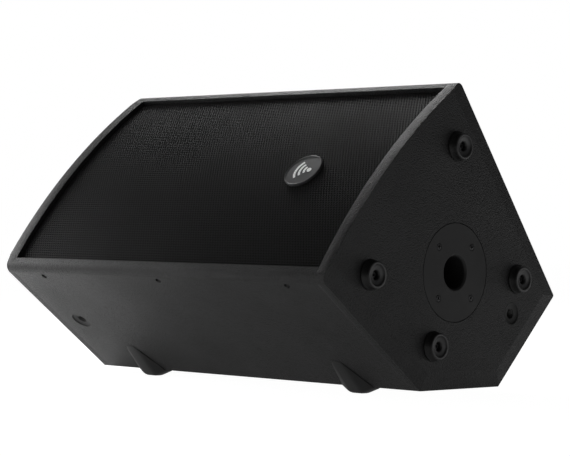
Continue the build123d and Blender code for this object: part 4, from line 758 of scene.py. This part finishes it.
class WEDGE_OT_finishes(bpy.types.Operator):
    """Makes every paint, rubber, metal and plastic, and gives each CAD part its own"""

    bl_idname = "wedge.finishes"
    bl_label = "Finishes"

    def execute(self, context):
        scene = context.scene
        paint, feet = scene.wedge_paint, scene.wedge_feet
        rubber = feet.rubber
        steel, badge = scene.wedge_grille.steel, scene.wedge_badge
        # the cabinet paint carries the painted highlight on the rounded arrises of its ends
        finish("textured_paint", pebbled, paint.body, paint.lighter, (0.6, 0.38), paint.pebble, 0.0005, 1.0,
               0.09, (0.28, 0.8), arris=1.0)
        finish("grille_steel", moulded, steel, (0.011, 0.011, 0.0114), (0.66, 0.78), 0.0009, 0.00006, 0.4,
               0.07)
        finish("rubber", moulded, rubber, grey(0.0065), (0.34, 0.48), 0.0012, 0.00006, 0.3, 0.02,
               rubbed=(feet.lighter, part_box("end_feet")[1].x - 2.8 * MM))
        finish("badge_plastic", moulded, badge.plate, (0.07, 0.07, 0.073), (0.34, 0.46), 0.0006, 0.00003,
               0.25, 0.02)
        # the white sign also glows a little: painted light, as the badge is no lamp
        finish("badge_white", moulded, badge.sign, (0.92, 0.92, 0.91), (0.34, 0.46), 0.0005, 0.00003, 0.2,
               0.01, glow=0.35)
        for values in PLAIN_FINISHES:
            more = values[-1] if isinstance(values[-1], dict) else {}
            finish(*values[:9], **more)
        for name, part in NODES.items():
            slot = part.data.materials[0].name.split(".")[0]
            part.material_slots[0].material = FINISHES[slot]
        return {"FINISHED"}


PAINTED = ("near_end_panel", "far_end_panel", "front_side_wall", "floor_wall", "rear_wall", "top_side_wall")
SHORTEST_PAINTED_EDGE = 8 * MM


class WEDGE_OT_shell(bpy.types.Operator):
    """Makes the pebbled cabinet: both end panels and the long walls, with soft outer edges"""

    bl_idname = "wedge.shell"
    bl_label = "Cabinet"

    def execute(self, context):
        edge = context.scene.wedge_paint.edge
        for name in PAINTED:
            softened(name, "textured_paint", edge, 3, SHORTEST_PAINTED_EDGE)
        return {"FINISHED"}


def cell_mesh(pitch, hole):
    """One flat cell of the sheet: a hexagon round a twelve-sided hole."""
    bm = bmesh.new()
    reach = pitch / 2 / cos(radians(30))
    rim, edge = [], []
    for k in range(12):
        turn = radians(30 * k)
        far = reach if k % 2 else pitch / 2
        rim.append(bm.verts.new((cos(turn) * hole / 2, sin(turn) * hole / 2, 0)))
        edge.append(bm.verts.new((cos(turn) * far, sin(turn) * far, 0)))
    for k in range(12):
        j = (k + 1) % 12
        bm.faces.new((rim[k], edge[k], edge[j], rim[j]))
    return as_mesh(bm, "grille_cell")


def on_sheet(x, v, depth=0.0):
    """The point x along and v up the curve of the grille's outer face, depth under it."""
    angle = v / SHEET_R
    return spot(x, (SHEET_R - depth) * sin(angle), ARC_MIDDLE_N + (SHEET_R - depth) * cos(angle))


def sheet_half_sizes():
    """Half the grille's length, and half its width along the curve."""
    low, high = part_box("grille")
    s = FRONT_HALF_WIDTH - SHEET_INSET / cos(SIDE_LEAN)
    for _ in range(4):
        n = ARC_MIDDLE_N + sqrt(SHEET_R**2 - s**2)
        s = FRONT_HALF_WIDTH + n * tan(SIDE_LEAN) - SHEET_INSET / cos(SIDE_LEAN)
    return (high.x - low.x) / 2, SHEET_R * asin(s / SHEET_R)


class WEDGE_OT_grille(bpy.types.Operator):
    """Makes the perforated steel grille as strips of holed cells and a folded rim"""

    bl_idname = "wedge.grille"
    bl_label = "Grille"

    def execute(self, context):
        chosen = context.scene.wedge_grille
        half_x, half_v = sheet_half_sizes()
        row_step = chosen.pitch * sqrt(3) / 2
        columns = int((2 * half_x - chosen.margin) / chosen.pitch)
        rows = int((2 * half_v - chosen.margin) / row_step)
        seat = 0.04 * MM
        per_strip = ceil(rows / chosen.strips)
        for k in range(chosen.strips):
            start = k * per_strip
            values = {
                "Pitch": chosen.pitch, "Columns": columns, "Rows": min(per_strip, rows - start),
                "First Row": start, "All Rows": rows, "Thickness": chosen.sheet - seat,
                "Bend Radius": SHEET_R - seat, "Bend Middle": ARC_MIDDLE_N, "Lean": LEAN, "Middle": MIDDLE,
                "Finish": FINISHES["grille_steel"],
            }
            name = f"grille_strip_{k + 1}"
            mesh = grown(cell_mesh(chosen.pitch, chosen.hole), perforation_tree, values, name)
            new_piece(name, mesh, "grille_steel", "cabinet", "grille")
        self.rim(half_x, half_v, chosen)
        return {"FINISHED"}

    def rim(self, half_x, half_v, chosen):
        """The folded edge: a rounded bend and a flange that runs back beside the walls."""
        corner, fold = 2.0 * MM, 1.6 * MM
        outline = []
        for cx, cv, start in ((1, 1, 0), (-1, 1, 90), (-1, -1, 180), (1, -1, 270)):
            for k in range(5):
                turn = radians(start + 22.5 * k)
                x, v = (c * (half - corner) for c, half in ((cx, half_x), (cv, half_v)))
                outline.append((x + corner * cos(turn), v + corner * sin(turn), cos(turn), sin(turn)))
        dense = []
        for a, b in zip(outline, outline[1:] + outline[:1]):
            dense.append(a)
            steps = int(hypot(b[0] - a[0], b[1] - a[1]) / (12 * MM))
            for k in range(1, steps):
                t = k / steps
                dense.append(tuple(p + (q - p) * t for p, q in zip(a, b)))
        sheet, lip = chosen.sheet, chosen.margin + 0.4 * MM
        turns = [radians(a) for a in (0, 30, 60, 90)]
        bend = [(fold * (1 - sin(turn)), fold * (1 - cos(turn))) for turn in turns]
        inner = [(sheet, fold), (lip, sheet)]
        bm = bmesh.new()
        rings = []
        for x, v, dx, dv in dense:
            def place(inset, depth):
                return on_sheet(x - dx * inset, v - dv * inset, depth)

            root = place(0, fold)
            flange = GRILLE_FLANGE_BACK - (root - MIDDLE).dot(OUTWARD)
            inner_root = place(sheet, fold)
            back = OUTWARD * flange - CLIMB * (dv * abs(flange) * tan(SIDE_LEAN))
            line = [place(lip, 0.0)] + [place(i, d) for i, d in bend] + [root + back, inner_root + back]
            line += [place(i, d) for i, d in inner]
            rings.append([bm.verts.new(p) for p in line])
        for a, b in zip(rings, rings[1:] + rings[:1]):
            for k in range(len(a)):
                j = (k + 1) % len(a)
                bm.faces.new((a[k], a[j], b[j], b[k]))
        bmesh.ops.remove_doubles(bm, verts=bm.verts, dist=1e-7)
        bmesh.ops.recalc_face_normals(bm, faces=bm.faces)
        new_piece("grille_rim", finished_mesh(bm, "grille_rim", 40.0), "grille_steel", "cabinet", "grille")


def cross_head(head_r, sink, recess):
    """A countersunk head with a rounded rim and a cross recess, its top at the origin."""
    bm = turned([(0, 0), (head_r * 0.8, 0), (head_r * 0.95, -0.12 * head_r), (head_r, -0.3 * head_r),
                 (head_r * 0.45, -sink), (0, -sink)], 24)
    arm, wide = head_r * recess, head_r * recess * 0.3
    mesh = finished_mesh(bm, "screw_head", 40.0)
    cross = bmesh.new()
    outline, quarter = [], [(wide, wide), (wide, arm), (-wide, arm)]
    for _ in range(4):
        outline += quarter
        quarter = [(-y, x) for x, y in quarter]
    low = [cross.verts.new((x * 0.6, y * 0.6, -0.55 * head_r)) for x, y in outline]
    high = [cross.verts.new((x, y, 0.1 * head_r)) for x, y in outline]
    cross.faces.new(list(reversed(low)))
    cross.faces.new(high)
    for k in range(12):
        j = (k + 1) % 12
        cross.faces.new((low[k], low[j], high[j], high[k]))
    bmesh.ops.recalc_face_normals(cross, faces=cross.faces)
    head, cutter = placed("head", mesh), placed("cutter", as_mesh(cross, "recess"))
    cut = head.modifiers.new("cut", "BOOLEAN")
    cut.object, cut.operation, cut.solver = cutter, "DIFFERENCE", "EXACT"
    made = bpy.data.meshes.new_from_object(head.evaluated_get(bpy.context.evaluated_depsgraph_get()))
    bpy.data.objects.remove(head)
    bpy.data.objects.remove(cutter)
    return made


# the groups of screws that all look one way: that way, and the radius of a head in millimetres
SCREWS = {
    "end_foot_screws": (ALONG, 4.0),
    "pole_socket_screws": (ALONG, 4.0),
    "handle_screws": (-ALONG, 3.6),
    "amp_screws": (-OUTWARD, 3.0),
    "horn_screws": (OUTWARD, 3.6),
}
GRILLE_SCREW_R = 3.4


class WEDGE_OT_screws(bpy.types.Operator):
    """Makes every group of cross-head screws, each head turned its own way"""

    bl_idname = "wedge.screws"
    bl_label = "Screws"

    def execute(self, context):
        for seed, (name, (out, head_r)) in enumerate(SCREWS.items()):
            places = [(p, out, CLIMB) for p in screw_places(name, out)]
            self.heads(name, places, head_r, seed)
        places = []
        for points in loose_parts("grille_screws"):
            middle = sum(points, Vector()) / len(points)
            out = wall_out(middle)
            highest = max(p.dot(out) for p in points)
            top = [p for p in points if highest - p.dot(out) < 0.05 * MM]
            places.append((sum(top, Vector()) / len(top), out, ALONG))
        self.heads("grille_screws", places, GRILLE_SCREW_R, 9)
        return {"FINISHED"}

    def heads(self, name, places, head_r, seed):
        r = head_r * MM
        piece = cross_head(r, r * 0.5, 0.62)
        repeated(name + "_finished", piece, places, "black_screws", "cabinet", (name,), pi, seed)


class WEDGE_OT_feet(bpy.types.Operator):
    """Makes the round rubber feet on the near end and the fins under the floor cut"""

    bl_idname = "wedge.feet"
    bl_label = "Feet"

    def execute(self, context):
        places = []
        for points in loose_parts("end_feet"):
            low, high = corners_of(points)
            places.append((Vector((low.x, (low.y + high.y) / 2, (low.z + high.z) / 2)), ALONG, CLIMB))
        foot = lathed("foot", FOOT_PROFILE, 56, 50.0)
        repeated("end_feet_finished", foot, places, "rubber", "cabinet", ("end_feet",))
        softened("floor_fins", "rubber", context.scene.wedge_feet.edge, 4, 2 * MM, 12.0)
        return {"FINISHED"}


class WEDGE_OT_sockets(bpy.types.Operator):
    """Makes the pole socket, the rigging inserts with their threads, and their dishes"""

    bl_idname = "wedge.sockets"
    bl_label = "Pole Socket and Rigging"

    def execute(self, context):
        softened("pole_socket", "socket_plastic", 0.35 * MM, 2, 0.5 * MM, 40.0)
        places = []
        for points in loose_parts("rigging_inserts"):
            middle = sum(points, Vector()) / len(points)
            if middle.x > MIDDLE.x + END_INSERT_BEYOND:
                out = ALONG
            else:
                out = wall_out(middle)
            highest = max(p.dot(out) for p in points)
            middle += out * (highest - middle.dot(out))
            places.append((middle, out, CLIMB if out == ALONG else ALONG))
        sleeve = lathed("sleeve", SLEEVE_PROFILE + list(reversed(THREAD_PROFILE)), 40, 20.0)
        repeated("rigging_inserts_finished", sleeve, places, "insert_steel", "cabinet", ("rigging_inserts",))
        dish = lathed("dish", DISH_PROFILE, 56, 30.0, DISH_DEPTH)
        repeated("rigging_dishes_finished", dish, places, "socket_plastic", "cabinet", ("rigging_dishes",))
        return {"FINISHED"}


class WEDGE_OT_badge(bpy.types.Operator):
    """Makes the round badge with its rim and its raised generic sign"""

    bl_idname = "wedge.badge"
    bl_label = "Badge"

    def execute(self, context):
        softened("badge_plate", "badge_plastic", 0.6 * MM, 3, 0.0, 40.0)
        softened("badge_sign", "badge_white", 0.12 * MM, 1, 0.0, 40.0)
        low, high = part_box("badge_plate")
        middle = (low + high) / 2
        s = (middle - MIDDLE).dot(CLIMB)
        angle = asin(s / SHEET_R)
        out = OUTWARD * cos(angle) + CLIMB * sin(angle)
        face = spot(middle.x - MIDDLE.x, SHEET_R * sin(angle), ARC_MIDDLE_N + SHEET_R * cos(angle))
        rim = lathed("badge_rim", BADGE_RIM_PROFILE, 96, 50.0)
        rim.transform(frame_at(face, out))
        new_piece("badge_rim", rim, "badge_plastic", "cabinet", "badge_plate")
        return {"FINISHED"}


# pieces with rounded edges: slot, how far an edge is rounded, and the shortest edge that is, in millimetres
ROUNDED = (
    ("handle_cup", "handle_plastic", 0.8, 4.0),
    ("handle_grip", "grip_rubber", 0.5, 0.2),
    ("heat_sink", "heat_sink_metal", 0.35, 1.0),
    ("mains_inlet", "socket_plastic", 0.3, 1.5),
    ("rocker_frame", "control_plastic", 0.3, 1.5),
    ("boost_button", "control_plastic", 0.2, 0.1),
    ("input_latch", "control_plastic", 0.3, 1.0),
)


class WEDGE_OT_rear(bpy.types.Operator):
    """Makes the handle, the heat sink and the amplifier's controls with soft edges"""

    bl_idname = "wedge.rear"
    bl_label = "Handle and Amplifier"

    def execute(self, context):
        for name, slot, width, least in ROUNDED:
            softened(name, slot, width * MM, 2, least * MM, 35.0)
        return {"FINISHED"}


# the soft boxes: the setting of its power, where it is, where it points, its width and height
SOFT_BOXES = (
    ("overhead", (-1.0, 1.3, 2.2), (0, 0, 0.2), (2.2, 1.6)),
    ("side", (-1.0, -0.25, 0.38), (-1.0, -0.24, 0.0), (0.8, 0.8)),
    ("wall", (-1.5, 1.05, 1.75), (0.2, 0.05, 0.3), (0.6, 0.5)),
    ("front", (-1.5, 0.35, 1.9), (0.0, 0.0, 0.2), (1.2, 1.0)),
    ("low", (1.2, 0.75, 0.06), (0.27, 0.0, 0.06), (1.3, 0.12)),
)


class WEDGE_OT_stage(bpy.types.Operator):
    """Sets up the pale floor, the soft studio light and the camera"""

    bl_idname = "wedge.stage"
    bl_label = "Studio"

    def execute(self, context):
        chosen = context.scene.wedge_stage
        self.camera(context, chosen)
        self.floor(chosen)
        self.lights(context, chosen)
        return {"FINISHED"}

    def camera(self, context, chosen):
        eye, target = Vector(chosen.eye), Vector(chosen.target)
        ahead = (target - eye).normalized()
        right = ahead.cross(Vector((0, 0, 1))).normalized()
        up = right.cross(ahead)
        side = right * cos(chosen.roll) + up * sin(chosen.roll)
        head = up * cos(chosen.roll) - right * sin(chosen.roll)
        lens = bpy.data.cameras.new("studio_camera")
        lens.lens, lens.sensor_width, lens.clip_end = chosen.lens, 36.0, 60.0
        camera = placed("studio_camera", lens)
        camera.matrix_world = Matrix((side, head, -ahead)).transposed().to_4x4()
        camera.location = eye
        context.scene.camera = camera

    def floor(self, chosen):
        made = bpy.data.materials.new("studio floor")
        made.use_nodes = True
        shader = made.node_tree.nodes["Principled BSDF"]
        shader.inputs["Base Color"].default_value = (*chosen.floor, 1.0)
        shader.inputs["Roughness"].default_value = 0.9
        shader.inputs["Specular IOR Level"].default_value = 0.1
        tree = made.node_tree
        bright = node(tree, "ShaderNodeEmission", {"Color": WHITE, "Strength": chosen.bright})
        lit = node(tree, "ShaderNodeEmission", {"Color": WHITE, "Strength": chosen.glow})
        both = node(tree, "ShaderNodeAddShader", {0: shader.outputs[0], 1: lit.outputs[0]})
        straight = node(tree, "ShaderNodeLightPath").outputs["Is Camera Ray"]
        share = times(tree, straight, 1.0 - chosen.shadow)
        mixed = node(tree, "ShaderNodeMixShader", {0: share, 1: both.outputs[0], 2: bright.outputs[0]})
        tree.links.new(mixed.outputs[0], tree.nodes["Material Output"].inputs["Surface"])
        bm = bmesh.new()
        bmesh.ops.create_circle(bm, cap_ends=True, radius=14.0, segments=64)
        floor = placed("studio_floor", as_mesh(bm, "studio_floor"))
        floor.data.materials.append(made)

    def lights(self, context, chosen):
        for name, place, aim, size in SOFT_BOXES:
            lamp = bpy.data.lights.new(name + "_soft_box", "AREA")
            lamp.shape, (lamp.size, lamp.size_y) = "RECTANGLE", size
            lamp.energy = getattr(chosen, name)
            held = placed(lamp.name, lamp)
            held.visible_camera = False
            held.location = place
            held.rotation_euler = (Vector(aim) - Vector(place)).to_track_quat("-Z", "Y").to_euler()
        world = bpy.data.worlds.new("studio_room")
        context.scene.world = world
        world.use_nodes = True
        tree = world.node_tree
        tree.nodes.clear()
        seen = node(tree, "ShaderNodeBackground", {"Color": WHITE, "Strength": 1.0})
        room = node(tree, "ShaderNodeBackground", {"Color": WHITE, "Strength": chosen.room})
        straight = node(tree, "ShaderNodeLightPath").outputs["Is Camera Ray"]
        mixed = node(tree, "ShaderNodeMixShader", {0: straight, 1: room.outputs[0], 2: seen.outputs[0]})
        node(tree, "ShaderNodeOutputWorld", {"Surface": mixed.outputs[0]})
        context.scene.view_settings.view_transform = "Standard"


OPERATORS = (
    WEDGE_OT_stage,
    WEDGE_OT_finishes,
    WEDGE_OT_shell,
    WEDGE_OT_grille,
    WEDGE_OT_badge,
    WEDGE_OT_feet,
    WEDGE_OT_sockets,
    WEDGE_OT_screws,
    WEDGE_OT_rear,
)


class WEDGE_PT_panel(bpy.types.Panel):
    """Lists the wedge's sizes, colours and pieces"""

    bl_idname = "WEDGE_PT_panel"
    bl_label = "Stage Monitor Wedge"
    bl_space_type = "VIEW_3D"
    bl_region_type = "UI"
    bl_category = "Wedge"

    def draw(self, context):
        for held, kind in SETTINGS.items():
            box = self.layout.box()
            box.label(text=held.replace("wedge_", "").title())
            for key in kind.__annotations__:
                box.prop(getattr(context.scene, held), key)
        for operator in OPERATORS:
            self.layout.operator(operator.bl_idname)


def register():
    for kind in (*SETTINGS.values(), *OPERATORS, WEDGE_PT_panel):
        bpy.utils.register_class(kind)
    for held, kind in SETTINGS.items():
        setattr(bpy.types.Scene, held, PointerProperty(type=kind))


def unregister():
    for held in SETTINGS:
        delattr(bpy.types.Scene, held)
    for kind in (WEDGE_PT_panel, *reversed(OPERATORS), *reversed(list(SETTINGS.values()))):
        bpy.utils.unregister_class(kind)


def main():
    """Makes every piece."""
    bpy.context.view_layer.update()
    register()
    for operator in OPERATORS:
        _, name = operator.bl_idname.split(".")
        getattr(bpy.ops.wedge, name)()


if __name__ == "__main__":
    main()
